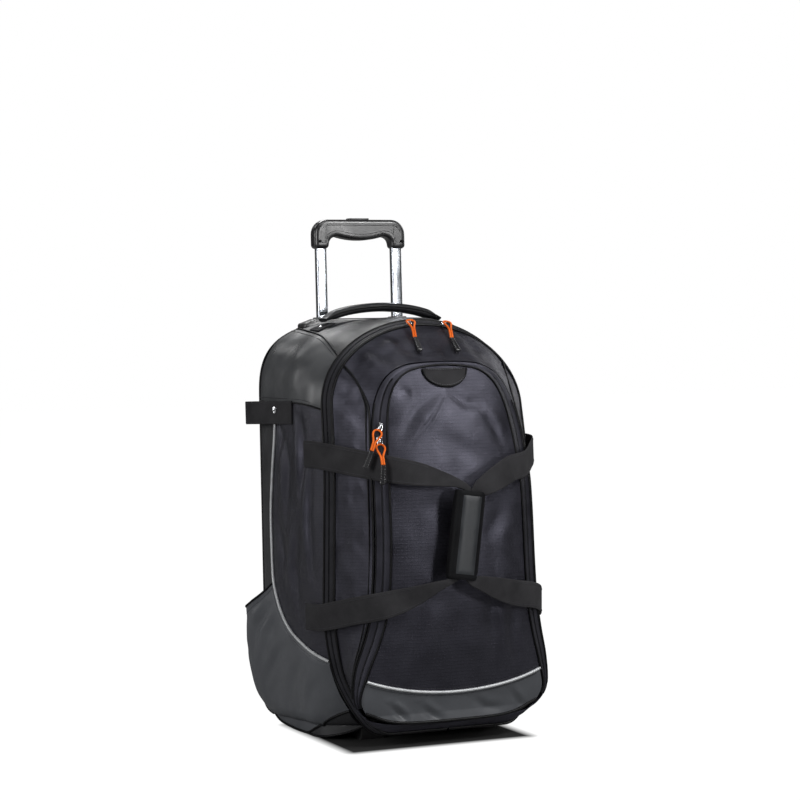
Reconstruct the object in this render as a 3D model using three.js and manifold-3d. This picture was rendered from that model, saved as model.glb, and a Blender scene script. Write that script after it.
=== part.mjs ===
// Wheeled sports bag with a telescopic trolley handle, standing on two wheels and two feet.
// Millimetres, +Z up. The front pocket faces -Y and the trolley stands along the back, at +Y.
// Everything is laid out upright in the bag's own frame. The last lines lean the bag back on its wheels
// and set it on the floor, with the origin under the middle of its outline.

import * as THREE from "three";
import { mergeVertices } from "three/addons/utils/BufferGeometryUtils.js";
import Module from "manifold-3d";

const wasm = await Module();
wasm.setup();

// Stance: the bag leans back a little, and its frame stands this far over the floor.
const LEAN = THREE.MathUtils.degToRad(3.3);
const FLOOR_LIFT = 14;

// Cloth and clearances
const WALL = 2.4; // coated or woven panel with its backing
const GAP = 0.4; // clearance between neighbouring pieces
const SIDE_BULGE = 5; // how far the filled sides swell between their seams
const PIPING = 2.4; // radius of the piping along the seams
const SEAM_ASIDE = 0.8; // how far a panel's edge stays from the seam line

// Body outlines from the back to the front edge of the gusset, and the inner edge of the main zip.
// y, topY: depth low down and at the crown. half, waist: half width over the foot and under the arch.
// archZ, topZ: foot and crown of the arch. bow: squareness of the arch, 2 being an ellipse.
// seam: angle up the arch of the seam between shoulder and top. footZ, footX, footH: lower corner.
const BACK = {
  y: 150, topY: 150, half: 187, waist: 185, archZ: 525, topZ: 657, bow: 3.0, seam: 56, footZ: 8, footX: 8, footH: 14,
};
const MIDDLE = {
  y: -70, topY: -8, half: 190, waist: 185, archZ: 520, topZ: 658, bow: 2.35, seam: 47, footZ: 8, footX: 12, footH: 18,
};
const FRONT = {
  y: -102, topY: -78, half: 186, waist: 175, archZ: 510, topZ: 650, bow: 2.0, seam: 37, footZ: 8, footX: 80, footH: 196,
};
const ZIP_EDGE = {
  y: -125, topY: -100, half: 179, waist: 169, archZ: 510, topZ: 642, bow: 2.0, seam: 37, footZ: 10, footX: 78, footH: 192,
};
const BODY = [BACK, MIDDLE, FRONT];
const CROWN_FROM = 380; // height where the outlines start to step back towards the crown
const CROWN_TO = 640;

// Seams on the side of the bag, from the shoulder down and round to the front corner.
// seamY, seamZ: the piped seam. frontZ: matching height on the front edge. rimY, rimZ: rim of the inner wall.
// hemY, hemZ: rim of the panel over it.
const SIDE_ROWS = [
  { seamY: 72, seamZ: 520, frontZ: 508, rimY: 147, rimZ: 523, hemY: 148, hemZ: 523 },
  { seamY: 76, seamZ: 470, frontZ: 466, rimY: 147, rimZ: 470, hemY: 148, hemZ: 470 },
  { seamY: 88, seamZ: 395, frontZ: 405, rimY: 147, rimZ: 395, hemY: 148, hemZ: 395 },
  { seamY: 94, seamZ: 334, frontZ: 345, rimY: 147, rimZ: 325, hemY: 148, hemZ: 325 },
  { seamY: 90, seamZ: 240, frontZ: 275, rimY: 147, rimZ: 204, hemY: 148, hemZ: 204 },
  { seamY: 70, seamZ: 196, frontZ: 225, rimY: 147, rimZ: 122, hemY: 148, hemZ: 122 },
  { seamY: 22, seamZ: 154, frontZ: 180, rimY: 146, rimZ: 54, hemY: 146, hemZ: 40 },
  { seamY: -35, seamZ: 132, frontZ: 148, rimY: 92, rimZ: 16, hemY: 94, hemZ: 5 },
  { seamY: -76, seamZ: 119, frontZ: 124, rimY: -10, rimZ: 16, hemY: -58, hemZ: -2 },
  { seamY: -99, seamZ: 112, frontZ: 115, rimY: -100, rimZ: 18, hemY: -101, hemZ: 35 },
];
const LIP_ROW = 4.25; // row of the open upper edge of the lower side panel
const STRIP_INSET = 5; // how far the inner wall lies under the lower side panel
const STICK_BULGE = 25; // room behind the left lower panel, open at its upper edge

// Section across the stick pocket: share of the way from the seam to the rim where the panel lies flat and
// where it bulges, and the share of the bulge that goes out and back.
const STICK_POCKET = [
  { flat: 0.0, along: 0.0, out: 0.0, back: 0.0 },
  { flat: 0.2, along: 0.25, out: 0.22, back: 0.0 },
  { flat: 0.4, along: 0.5, out: 0.55, back: 0.0 },
  { flat: 0.58, along: 0.75, out: 0.9, back: 0.1 },
  { flat: 0.74, along: 0.93, out: 1.0, back: 0.36 },
  { flat: 0.86, along: 1.0, out: 0.72, back: 0.58 },
  { flat: 0.94, along: 1.0, out: 0.24, back: 0.46 },
  { flat: 1.0, along: 1.0, out: 0.0, back: 0.12 },
];

// Edge of the front pocket, right half, from the middle of its foot over the flare to its crown.
// v: place along the half outline, shared with the main zip. tape: width of the zip outside the edge.
const POCKET_EDGE = [
  { v: 0.0, x: 0, y: -168, z: 11, tape: 1 },
  { v: 0.12, x: 96, y: -168, z: 12, tape: 1 },
  { v: 0.17, x: 155, y: -169, z: 16, tape: 3 },
  { v: 0.21, x: 165, y: -176, z: 46, tape: 10 },
  { v: 0.26, x: 151, y: -187, z: 100, tape: 20 },
  { v: 0.31, x: 134, y: -198, z: 150, tape: 23 },
  { v: 0.35, x: 122, y: -206, z: 204, tape: 24 },
  { v: 0.45, x: 117, y: -209, z: 300, tape: 24 },
  { v: 0.55, x: 116, y: -206, z: 380, tape: 24 },
  { v: 0.65, x: 111, y: -192, z: 460, tape: 24 },
  { v: 0.75, x: 103, y: -181, z: 512, tape: 22 },
  { v: 0.84, x: 86, y: -175, z: 550, tape: 17 },
  { v: 0.92, x: 54, y: -173, z: 571, tape: 9 },
  { v: 1.0, x: 0, y: -173, z: 577, tape: 5 },
];
const POCKET_CROWN = 17; // how far the pocket's face swells over its edge
const SMILE = { low: 60, rise: 26 }; // piped seam over the pocket's foot band
const POCKET_FOOT = 18;

// Folds of the pocket's face: middle, direction in degrees from +X, reach along and across, depth.
const POCKET_FOLDS = [
  { x: -22, z: 528, turn: 118, along: 34, across: 9, depth: 5 },
  { x: 20, z: 524, turn: 66, along: 38, across: 9, depth: 5 },
  { x: -2, z: 500, turn: 4, along: 40, across: 12, depth: 4 },
  { x: -70, z: 430, turn: 38, along: 46, across: 13, depth: 3 },
  { x: 66, z: 360, turn: 128, along: 60, across: 15, depth: 3 },
  { x: -60, z: 210, turn: 24, along: 52, across: 14, depth: 3 },
  { x: 30, z: 150, turn: 160, along: 60, across: 14, depth: 3 },
];
const PATCH = { half: 39, height: 29, topZ: 575 }; // half-moon grab patch at the pocket's crown

// Carrying straps: middle line of the left strap, facing direction and width of the webbing.
const STRAP_THICK = 2.6;
const STRAP_IN_WRAP = 21;
const WRAP = { topX: 0, topZ: 379, footX: -20, footZ: 242, y: -254, wide: 56, deep: 25, slotWide: 50, slotDeep: 8 };
// lower: how much farther out the lower arm lies. drop: how far the arm runs towards the wrap.
const STRAP_ARM = [
  { x: 192, lower: 4, y: -52, drop: 0, nx: 1, ny: -0.05, width: 43 },
  { x: 192, lower: 3, y: -84, drop: 0, nx: 1, ny: -0.14, width: 43 },
  { x: 187, lower: 5, y: -118, drop: 3, nx: 0.86, ny: -0.5, width: 43 },
  { x: 156, lower: 13, y: -167, drop: 13, nx: 0.8, ny: -0.6, width: 43 },
  { x: 119, lower: 11, y: -215, drop: 24, nx: 0.76, ny: -0.65, width: 42 },
  { x: 78, lower: 6, y: -242, drop: 32, nx: 0.4, ny: -0.92, width: 38 },
  { x: 46, lower: 0, y: -253, drop: 35, nx: 0.12, ny: -0.99, width: 31 },
];
const STRAP_UPPER_Z = 440;
const STRAP_LOWER_Z = 181;

// Stick strap on the left side: place along the side and distance that it stands out.
const STICK_STRAP = { z: 506, width: 38, snapY: 62 };
const STICK_STRAP_ROWS = [
  { y: 4, out: 2.4 },
  { y: 30, out: 2.6 },
  { y: 54, out: 4.5 },
  { y: 74, out: 9.5 },
  { y: 100, out: 17 },
  { y: 128, out: 23 },
  { y: 148, out: 23 },
  { y: 161, out: 15 },
  { y: 162, out: 7 },
  { y: 156, out: 3.2 },
];

// Padded top handle: height of its middle line along the bag's width.
const HANDLE = { y: 56, wide: 30, thick: 15, tabFrom: 90, tabTo: 121, tabWide: 36 };
const HANDLE_ROWS = [
  { x: -105, z: 656.2 },
  { x: -92, z: 662.5 },
  { x: -60, z: 671.5 },
  { x: 0, z: 677 },
  { x: 60, z: 671.5 },
  { x: 92, z: 662.5 },
  { x: 105, z: 656.0 },
];

// Trolley: two flat oval tubes in fixed sleeves, a moulded plate at the top and a grip with a push button.
const TROLLEY = { x: 70, y: 137, legZ: 779, topZ: 828 };
const TUBE = { wide: 18, deep: 13, round: 5.5, wall: 1.3, below: 560, socket: 22 };
const SLEEVE = { wall: 2.4, footZ: 22, topZ: 643 };
const PLATE = { half: 108, frontY: 116.6, backY: 149.6, lowZ: 643.6, topZ: 661, endZ: 651 };
const GRIP = { half: 84, leg: 26, deep: 26, round: 25, bevel: 2.5 };
const BUTTON = { wide: 38, deep: 15, topZ: 830.4, recessZ: 816, clear: 4 };

// Running gear
const WHEEL = { x: 156, y: 128, radius: 36, rim: 26, width: 24, bore: 4.4, axle: 4 };
const HOUSING = { inX: 138, outX: 174, frontY: 91, backY: 149, lowZ: 4, topZ: 77, well: 41, cheek: 4.6 };
const BOARD = { lowZ: 6.5, topZ: 13.6, edge: 11 };
const FOOT = { x: 100, wide: 44, frontY: -94, backY: -48 };

// Zip pulls: slider on the zip, the way the zip faces, and both ends of the moulded tip.
const SLIDER = { wide: 11, long: 14, thick: 6 };
const PULL = { cord: 1.6, spread: 2.5, tipWide: 9, tipEnd: 7, tipThick: 6 };
const ZIP_PULLS = [
  { name: "top_left", at: [-20, -90.6, 644.8], face: [0, -0.3, 0.95], knot: [-30, -134, 622], end: [-33, -158, 600] },
  { name: "top_right", at: [44, -90.6, 642], face: [0.1, -0.3, 0.94], knot: [36, -134, 620], end: [35, -158, 598] },
  { name: "side_upper", at: [-119, -183, 481], face: [-0.45, -0.86, 0.2], knot: [-144, -204, 446], end: [-153, -197, 418] },
  { name: "side_lower", at: [-122, -187, 460], face: [-0.45, -0.88, 0.1], knot: [-132, -219, 424], end: [-134, -219, 393] },
];

// Finishes read from the bag
const CLOTH = { color: 0x17161b, roughness: 0.72, metalness: 0.0 };
const RIPSTOP = { color: 0x1b1a20, roughness: 0.66, metalness: 0.0 };
const COATED = { color: 0x47494f, roughness: 0.48, metalness: 0.0 };
const WEB = { color: 0x121216, roughness: 0.8, metalness: 0.0 };
const ZIP = { color: 0x141317, roughness: 0.6, metalness: 0.0 };
const REFLECT = { color: 0xc4c6ca, roughness: 0.4, metalness: 0.3 };
const PAD = { color: 0x3c3d42, roughness: 0.62, metalness: 0.0 };
const MOULDED = { color: 0x131316, roughness: 0.45, metalness: 0.0 };
const RUBBER = { color: 0x1d1d1f, roughness: 0.85, metalness: 0.0 };
const ALUMINIUM = { color: 0xb9bcc0, roughness: 0.3, metalness: 1.0 };
const ORANGE = { color: 0xff7a2c, roughness: 0.6, metalness: 0.0 };

const { lerp, clamp, smoothstep, degToRad } = THREE.MathUtils;
const bag = new THREE.Group();

/** Adds one named piece with its finish. */
function addPiece(name, geometry, finish, parent = bag) {
  const mesh = new THREE.Mesh(geometry, new THREE.MeshStandardMaterial(finish));
  mesh.name = name;
  parent.add(mesh);
  return mesh;
}

/** Value of a column at a place in a table that is sorted by its key column. */
function readTable(rows, key, value, column) {
  let i = 0;
  while (i < rows.length - 2 && value > rows[i + 1][key]) {
    i += 1;
  }
  const share = (value - rows[i][key]) / (rows[i + 1][key] - rows[i][key]);
  return lerp(rows[i][column], rows[i + 1][column], clamp(share, 0, 1));
}

/** Value of a column at a fractional row number, eased between rows by a smooth curve. */
function readRow(rows, place, columns) {
  const points = rows.map((row) => new THREE.Vector3(row[columns[0]], row[columns[1]], 0));
  const curve = new THREE.CatmullRomCurve3(points, false, "centripetal");
  const point = curve.getPoint(place / (rows.length - 1));
  return [point.x, point.y];
}

/** Signed volume of an indexed triangle list. */
function signedVolume(points, index) {
  let volume = 0;
  for (let i = 0; i < index.length; i += 3) {
    const a = points[index[i]];
    const b = points[index[i + 1]];
    const c = points[index[i + 2]];
    volume += a.dot(b.clone().cross(c)) / 6;
  }
  return volume;
}

/** Closed geometry from points and triangles, turned to face outwards. */
function closedGeometry(points, index) {
  const facing = index.slice();
  if (signedVolume(points, index) < 0) {
    facing.reverse();
  }
  const geometry = new THREE.BufferGeometry();
  geometry.setAttribute("position", new THREE.Float32BufferAttribute(points.flatMap((p) => [p.x, p.y, p.z]), 3));
  geometry.setIndex(facing);
  return geometry;
}

/**
 * A wall of even thickness behind a grid of points on its outer face.
 * The wall lies on the side of the point `inside`; a ring joins its last column to its first.
 */
function wallSolid(grid, inside, thickness = WALL, ring = false) {
  const rows = grid.length;
  const cols = grid[0].length;
  const at = (r, c) => grid[clamp(r, 0, rows - 1)][ring ? (c + cols) % cols : clamp(c, 0, cols - 1)];
  const normals = grid.map((row, r) => row.map((point, c) => {
    const down = at(r + 1, c).clone().sub(at(r - 1, c));
    const across = at(r, c + 1).clone().sub(at(r, c - 1));
    return down.cross(across).normalize();
  }));
  let towards = 0;
  grid.forEach((row, r) => row.forEach((point, c) => {
    towards += normals[r][c].dot(point.clone().sub(inside));
  }));
  const depth = towards > 0 ? -thickness : thickness;
  const outer = grid.flat();
  const inner = grid.flatMap((row, r) => row.map((p, c) => p.clone().addScaledVector(normals[r][c], depth)));
  const points = [...outer, ...inner];
  const shift = outer.length;
  const id = (r, c) => r * cols + ((c + cols) % cols);
  const index = [];
  const quad = (a, b, c, d) => index.push(a, b, c, a, c, d);
  const lastCol = ring ? cols : cols - 1;
  for (let r = 0; r < rows - 1; r += 1) {
    for (let c = 0; c < lastCol; c += 1) {
      quad(id(r, c), id(r + 1, c), id(r + 1, c + 1), id(r, c + 1));
      quad(shift + id(r, c), shift + id(r, c + 1), shift + id(r + 1, c + 1), shift + id(r + 1, c));
    }
  }
  for (let c = 0; c < lastCol; c += 1) {
    quad(id(0, c), id(0, c + 1), shift + id(0, c + 1), shift + id(0, c));
    quad(id(rows - 1, c + 1), id(rows - 1, c), shift + id(rows - 1, c), shift + id(rows - 1, c + 1));
  }
  for (let r = 0; r < rows - 1 && !ring; r += 1) {
    quad(id(r + 1, 0), id(r, 0), shift + id(r, 0), shift + id(r + 1, 0));
    quad(id(r, cols - 1), id(r + 1, cols - 1), shift + id(r + 1, cols - 1), shift + id(r, cols - 1));
  }
  return closedGeometry(points, index);
}

/** Even places from 0 to 1. */
function steps(count) {
  return Array.from({ length: count }, (unused, i) => i / (count - 1));
}

/** Rounded rectangle centred on a point, as a shape or as a hole. */
function roundedRect(Kind, wide, high, round, cx = 0, cy = 0) {
  const w = wide / 2 - round;
  const h = high / 2 - round;
  const outline = new Kind();
  outline.absarc(cx + w, cy - h, round, -Math.PI / 2, 0);
  outline.absarc(cx + w, cy + h, round, 0, Math.PI / 2);
  outline.absarc(cx - w, cy + h, round, Math.PI / 2, Math.PI);
  outline.absarc(cx - w, cy - h, round, Math.PI, 1.5 * Math.PI);
  outline.closePath();
  return outline;
}

/** Round shape for piping and cord. */
function roundShape(radius) {
  const shape = new THREE.Shape();
  shape.absarc(0, 0, radius, 0, 2 * Math.PI);
  return shape;
}

/** A tube or bar of a given shape along a curve through points. */
function sweep(points, shape, count, sides = 4) {
  const path = new THREE.CatmullRomCurve3(points, false, "centripetal");
  return new THREE.ExtrudeGeometry(shape, { steps: count, extrudePath: path, curveSegments: sides });
}

/** An upright bar of a given shape between two heights. */
function upright(shape, lowZ, topZ, sides = 2) {
  const geometry = new THREE.ExtrudeGeometry(shape, { depth: topZ - lowZ, bevelEnabled: false, curveSegments: sides });
  return geometry.translate(0, 0, lowZ);
}

/** A profile drawn in X and Z, extruded along Y between two depths. */
function acrossDepth(shape, frontY, backY, bevel = 0, sides = 4) {
  const geometry = new THREE.ExtrudeGeometry(shape, {
    depth: backY - frontY - 2 * bevel, curveSegments: sides, bevelEnabled: bevel > 0,
    bevelThickness: bevel, bevelSize: bevel, bevelOffset: -bevel, bevelSegments: 1,
  });
  return geometry.rotateX(Math.PI / 2).translate(0, backY - bevel, 0);
}

/** Solid body of a geometry for joining and cutting. */
function toSolid(geometry) {
  const bare = geometry.clone();
  bare.deleteAttribute("normal");
  bare.deleteAttribute("uv");
  const merged = mergeVertices(bare, 1e-3);
  return new wasm.Manifold(new wasm.Mesh({
    numProp: 3,
    vertProperties: new Float32Array(merged.attributes.position.array),
    triVerts: new Uint32Array(merged.index.array),
  }));
}

/** Geometry of a solid body. */
function fromSolid(solid) {
  const mesh = solid.getMesh();
  const geometry = new THREE.BufferGeometry();
  const position = [];
  for (let i = 0; i < mesh.vertProperties.length; i += mesh.numProp) {
    position.push(...mesh.vertProperties.slice(i, i + 3));
  }
  geometry.setAttribute("position", new THREE.Float32BufferAttribute(position, 3));
  geometry.setIndex(Array.from(mesh.triVerts));
  return geometry;
}

/** A box between two corners. */
function boxBetween(low, high) {
  const size = high.map((value, i) => value - low[i]);
  const middle = high.map((value, i) => (value + low[i]) / 2);
  return new THREE.BoxGeometry(...size).translate(...middle);
}

// The body's surface

/** Half width of an outline at a height. */
function halfAt(section, z) {
  const footTop = section.footZ + section.footH;
  if (z >= section.archZ) {
    const share = clamp((z - section.archZ) / (section.topZ - section.archZ), 0, 1);
    return section.waist * Math.pow(1 - Math.pow(share, section.bow), 1 / section.bow);
  }
  if (z >= footTop) {
    return lerp(section.half, section.waist, (z - footTop) / (section.archZ - footTop));
  }
  const drop = clamp((footTop - z) / section.footH, 0, 1);
  return section.half - section.footX * (1 - Math.sqrt(1 - drop * drop));
}

/** Depth of an outline at a height. */
function depthAt(section, z) {
  return lerp(section.y, section.topY, smoothstep(z, CROWN_FROM, CROWN_TO));
}

/** Half width of the body's side at a depth and height. */
function sideHalf(y, z) {
  const depths = BODY.map((section) => depthAt(section, z));
  const halves = BODY.map((section) => halfAt(section, Math.min(z, section.archZ)));
  const i = y > depths[1] ? 0 : 1;
  const share = clamp((depths[i] - y) / (depths[i] - depths[i + 1]), 0, 1);
  const along = clamp((depths[0] - y) / (depths[0] - depths[2]), 0, 1);
  const rise = clamp((z - BACK.footZ) / (BACK.archZ - BACK.footZ), 0, 1);
  const swell = SIDE_BULGE * Math.sin(Math.PI * along) * Math.sin(Math.PI * rise);
  return lerp(halves[i], halves[i + 1], share) + swell;
}

/** Point of the body's side at a depth and height, lifted off it along its normal. */
function sidePoint(sign, y, z, out = 0) {
  const half = sideHalf(y, z);
  const alongY = (sideHalf(y + 1, z) - sideHalf(y - 1, z)) / 2;
  const alongZ = (sideHalf(y, z + 1) - sideHalf(y, z - 1)) / 2;
  const normal = new THREE.Vector3(sign, -alongY, -alongZ).normalize();
  return new THREE.Vector3(sign * half, y, z).addScaledVector(normal, out);
}

/** Outline between the body outlines: 0 is the back, 1 the middle, 2 the front. */
function outlineBetween(place) {
  const i = place < 1 ? 0 : 1;
  const mixed = {};
  for (const key of Object.keys(BACK)) {
    mixed[key] = lerp(BODY[i][key], BODY[i + 1][key], place - i);
  }
  return mixed;
}

/** Point of an outline's arch at an angle from the right-hand side over the crown to the left. */
function archPoint(section, angle) {
  const c = Math.cos(degToRad(angle));
  const s = Math.sin(degToRad(angle));
  const reach = Math.pow(Math.pow(Math.abs(c), section.bow) + Math.pow(Math.abs(s), section.bow), -1 / section.bow);
  const z = section.archZ + (section.topZ - section.archZ) * s * reach;
  return new THREE.Vector3(section.waist * c * reach, depthAt(section, z), z);
}

/** Point of an outline's right half, from the middle of its foot (0) to its crown (1). */
function outlinePoint(section, v) {
  const footStart = section.half - section.footX;
  if (v <= 0.12) {
    return new THREE.Vector3((footStart * v) / 0.12, section.y, section.footZ);
  }
  if (v <= 0.35) {
    const turn = ((v - 0.12) / 0.23) * (Math.PI / 2);
    const x = footStart + section.footX * Math.sin(turn);
    return new THREE.Vector3(x, section.y, section.footZ + section.footH * (1 - Math.cos(turn)));
  }
  if (v <= 0.65) {
    const z = lerp(section.footZ + section.footH, section.archZ, (v - 0.35) / 0.3);
    return new THREE.Vector3(halfAt(section, z), depthAt(section, z), z);
  }
  return archPoint(section, ((v - 0.65) / 0.35) * 90);
}

/** Edge of the pocket's face, right half, and the outer edge of its zip. */
function pocketPoint(v) {
  const read = (column) => readTable(POCKET_EDGE, "v", v, column);
  return new THREE.Vector3(read("x"), read("y"), read("z"));
}

function pocketZipPoint(v, extra = 0) {
  const ahead = pocketPoint(Math.min(v + 0.02, 1));
  const behind = pocketPoint(Math.max(v - 0.02, 0));
  const flow = ahead.sub(behind).setY(0).normalize();
  const tape = readTable(POCKET_EDGE, "v", v, "tape") + extra;
  const out = new THREE.Vector3(flow.z * 0.88, 0.47, -flow.x * 0.88);
  return pocketPoint(v).addScaledVector(out, tape);
}

/** Face of the pocket at a height and a share of its half width. */
function pocketFace(u, z, out = 0) {
  const rows = POCKET_EDGE.slice(2);
  const half = readTable(rows, "z", z, "x");
  const x = u * half;
  const fade = smoothstep(577 - z, 0, 90) * lerp(0.55, 1, smoothstep(z, 30, 140));
  let y = readTable(rows, "z", z, "y") - POCKET_CROWN * fade * (1 - Math.pow(Math.abs(u), 2.4));
  for (const fold of POCKET_FOLDS) {
    const turn = degToRad(fold.turn);
    const dx = x - fold.x;
    const dz = z - fold.z;
    const along = (dx * Math.cos(turn) + dz * Math.sin(turn)) / fold.along;
    const across = (dz * Math.cos(turn) - dx * Math.sin(turn)) / fold.across;
    y += fold.depth * (1 - u * u) * Math.exp(-along * along - across * across);
  }
  return new THREE.Vector3(x, y - out, z);
}

/** Closed ring of columns around a symmetric outline, from the foot over the right side and back down the left. */
function ringOf(halfPoint, count) {
  const right = steps(count).map(halfPoint);
  const left = right.slice(1, -1).reverse().map((p) => new THREE.Vector3(-p.x, p.y, p.z));
  return [...right, ...left];
}

// Bag shell

const HEART = new THREE.Vector3(0, 20, 320);
const SIDES = [{ name: "left", sign: -1 }, { name: "right", sign: 1 }];

for (const side of SIDES) {
  const rowCount = 13;
  const lastRow = SIDE_ROWS.length - 1;
  const seamAt = (place, aside = 0) => {
    const [y, z] = readRow(SIDE_ROWS, place, ["seamY", "seamZ"]);
    const ahead = readRow(SIDE_ROWS, Math.min(place + 0.05, lastRow), ["seamY", "seamZ"]);
    const behind = readRow(SIDE_ROWS, Math.max(place - 0.05, 0), ["seamY", "seamZ"]);
    const flow = new THREE.Vector2(ahead[0] - behind[0], ahead[1] - behind[1]).normalize();
    return [y - flow.y * aside, z + flow.x * aside];
  };
  const rimAt = (place) => readRow(SIDE_ROWS, place, ["rimY", "rimZ"]);
  const hemAt = (place) => readRow(SIDE_ROWS, place, ["hemY", "hemZ"]);
  const frontAt = (place) => readTable(SIDE_ROWS.map((row, i) => ({ ...row, i })), "i", place, "frontZ");

  const panelGrid = steps(rowCount).map((share) => {
    const place = share * lastRow;
    const [seamY, seamZ] = seamAt(place, -SEAM_ASIDE);
    const frontZ = frontAt(place);
    const frontY = depthAt(FRONT, frontZ);
    return steps(5).map((m) => sidePoint(side.sign, lerp(seamY, frontY, m), lerp(seamZ, frontZ, m)));
  });
  addPiece(`side_panel_${side.name}`, wallSolid(panelGrid, HEART), RIPSTOP);

  const stripGrid = steps(rowCount + 4).map((share) => {
    const place = share * lastRow;
    const [seamY, seamZ] = seamAt(place, SEAM_ASIDE);
    const [rimY, rimZ] = rimAt(place);
    const inset = -STRIP_INSET * smoothstep(place, 3.7, 5.3);
    return steps(4).map((m) => sidePoint(side.sign, lerp(seamY, rimY, m), lerp(seamZ, rimZ, m), inset * Math.min(3 * m, 1)));
  });
  addPiece(`side_strip_${side.name}`, wallSolid(stripGrid, HEART), CLOTH);

  const columns = side.sign < 0 ? STICK_POCKET : STICK_POCKET.filter((column, i) => i % 2 === 0 || i > 6);
  const bulgeOf = (place) => (side.sign < 0 ? STICK_BULGE * (1 - smoothstep(place, 4.9, 7.7)) : 0);
  const lowerGrid = steps(13).map((share) => {
    const place = lerp(LIP_ROW, lastRow, share);
    const [seamY, seamZ] = seamAt(place);
    const [rimY, rimZ] = hemAt(place);
    const bulge = bulgeOf(place);
    return columns.map((column) => {
      const m = lerp(0.06, 1, lerp(column.flat, column.along, bulge / STICK_BULGE));
      const base = sidePoint(side.sign, lerp(seamY, rimY, m), lerp(seamZ, rimZ, m), WALL + 1.4 * GAP);
      return base.add(new THREE.Vector3(side.sign * bulge * column.out, bulge * column.back, 0));
    });
  });
  addPiece(`lower_panel_${side.name}`, wallSolid(lowerGrid, HEART), COATED);

  const seamLine = steps(12).map((share) => {
    const [seamY, seamZ] = seamAt(share * lastRow);
    return sidePoint(side.sign, seamY, seamZ, PIPING + 4 * GAP);
  });
  addPiece(`side_piping_${side.name}`, sweep(seamLine, roundShape(PIPING), 20, 3), REFLECT);

  const shoulderGrid = steps(8).map((share) => {
    const section = outlineBetween(share * 2);
    return steps(7).map((m) => {
      const angle = lerp(0.4, section.seam - 0.35, m);
      const point = archPoint(section, angle);
      return new THREE.Vector3(side.sign * point.x, point.y, point.z);
    });
  });
  addPiece(`shoulder_panel_${side.name}`, wallSolid(shoulderGrid, HEART), COATED);
}

const topGrid = steps(7).map((share) => {
  const section = outlineBetween(lerp(0.245, 2, share));
  return steps(13).map((m) => archPoint(section, lerp(section.seam + 0.35, 179.65 - section.seam, m)));
});
addPiece("top_panel", wallSolid(topGrid, HEART), CLOTH);

const backShape = new THREE.Shape();
backShape.moveTo(HOUSING.inX - 4, BACK.footZ);
backShape.lineTo(HOUSING.inX - 4, HOUSING.topZ + 3);
backShape.lineTo(BACK.half, HOUSING.topZ + 3);
for (const angle of steps(15)) {
  const point = archPoint(BACK, angle * 180);
  backShape.lineTo(point.x, point.z);
}
backShape.lineTo(-BACK.half, HOUSING.topZ + 3);
backShape.lineTo(4 - HOUSING.inX, HOUSING.topZ + 3);
backShape.lineTo(4 - HOUSING.inX, BACK.footZ);
addPiece("back_panel", acrossDepth(backShape, BACK.y + GAP, BACK.y + GAP + 3), CLOTH);

const boardShape = new THREE.Shape();
const boardBack = BACK.half - BACK.footX - BOARD.edge;
const boardMiddle = MIDDLE.half - MIDDLE.footX - BOARD.edge;
const boardFront = FRONT.half - FRONT.footX - BOARD.edge;
boardShape.moveTo(-boardFront, FRONT.y + BOARD.edge);
boardShape.lineTo(boardFront, FRONT.y + BOARD.edge);
boardShape.lineTo(boardMiddle, MIDDLE.y);
boardShape.lineTo(boardBack, HOUSING.frontY - GAP);
boardShape.lineTo(HOUSING.inX - GAP, HOUSING.frontY - GAP);
boardShape.lineTo(HOUSING.inX - GAP, BACK.y);
boardShape.lineTo(GAP - HOUSING.inX, BACK.y);
boardShape.lineTo(GAP - HOUSING.inX, HOUSING.frontY - GAP);
boardShape.lineTo(-boardBack, HOUSING.frontY - GAP);
boardShape.lineTo(-boardMiddle, MIDDLE.y);
boardShape.closePath();
addPiece("base_board", upright(boardShape, BOARD.lowZ, BOARD.topZ), MOULDED);

// Front flap with the pocket on it

const RING = 21;
const zipGrid = [0.06, 0.5, 1].map((share) => ringOf((v) => {
  return outlinePoint(FRONT, v).lerp(outlinePoint(ZIP_EDGE, v), share);
}, RING));
addPiece("main_zip", wallSolid(zipGrid, HEART, WALL, true), ZIP);

const gussetGrid = steps(4).map((share) => ringOf((v) => {
  return outlinePoint(ZIP_EDGE, v).lerp(pocketZipPoint(v, 2.8), lerp(0.02, 1, share));
}, RING));
addPiece("pocket_gusset", wallSolid(gussetGrid, HEART, WALL, true), RIPSTOP);

const flapGrid = steps(9).map((share) => {
  const z = lerp(ZIP_EDGE.footZ + 8, ZIP_EDGE.topZ - 12, share);
  const half = halfAt(ZIP_EDGE, z) - 10;
  return steps(7).map((m) => {
    const u = 2 * m - 1;
    return new THREE.Vector3(u * half, depthAt(ZIP_EDGE, z) + 1 - 7 * (1 - u * u), z);
  });
});
addPiece("front_flap", wallSolid(flapGrid, HEART), CLOTH);

const tapeGrid = [0, 0.5, 1].map((share) => {
  const halfLine = steps(RING).filter((v) => v > 0.19).map((v) => {
    return pocketZipPoint(v).lerp(pocketPoint(v), lerp(0.03, 0.86, share));
  });
  const left = halfLine.slice(0, -1).map((p) => new THREE.Vector3(-p.x, p.y, p.z));
  return [...left, ...halfLine.slice().reverse()];
});
addPiece("pocket_zip", wallSolid(tapeGrid, HEART, 2.0), ZIP);

const FACE_REACH = 0.978;
const smileAt = (u) => SMILE.low + SMILE.rise * u * u;
const faceGrid = steps(16).map((share) => steps(12).map((m) => {
  const u = FACE_REACH * (2 * m - 1);
  return pocketFace(u, lerp(smileAt(u) + 1, POCKET_EDGE.at(-1).z - 2, share));
}));
addPiece("front_pocket", wallSolid(faceGrid, HEART), RIPSTOP);

const bandGrid = steps(5).map((share) => steps(11).map((m) => {
  const u = FACE_REACH * (2 * m - 1);
  return pocketFace(u, lerp(POCKET_FOOT, smileAt(u) - 1, share));
}));
addPiece("pocket_band", wallSolid(bandGrid, HEART), COATED);

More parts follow.
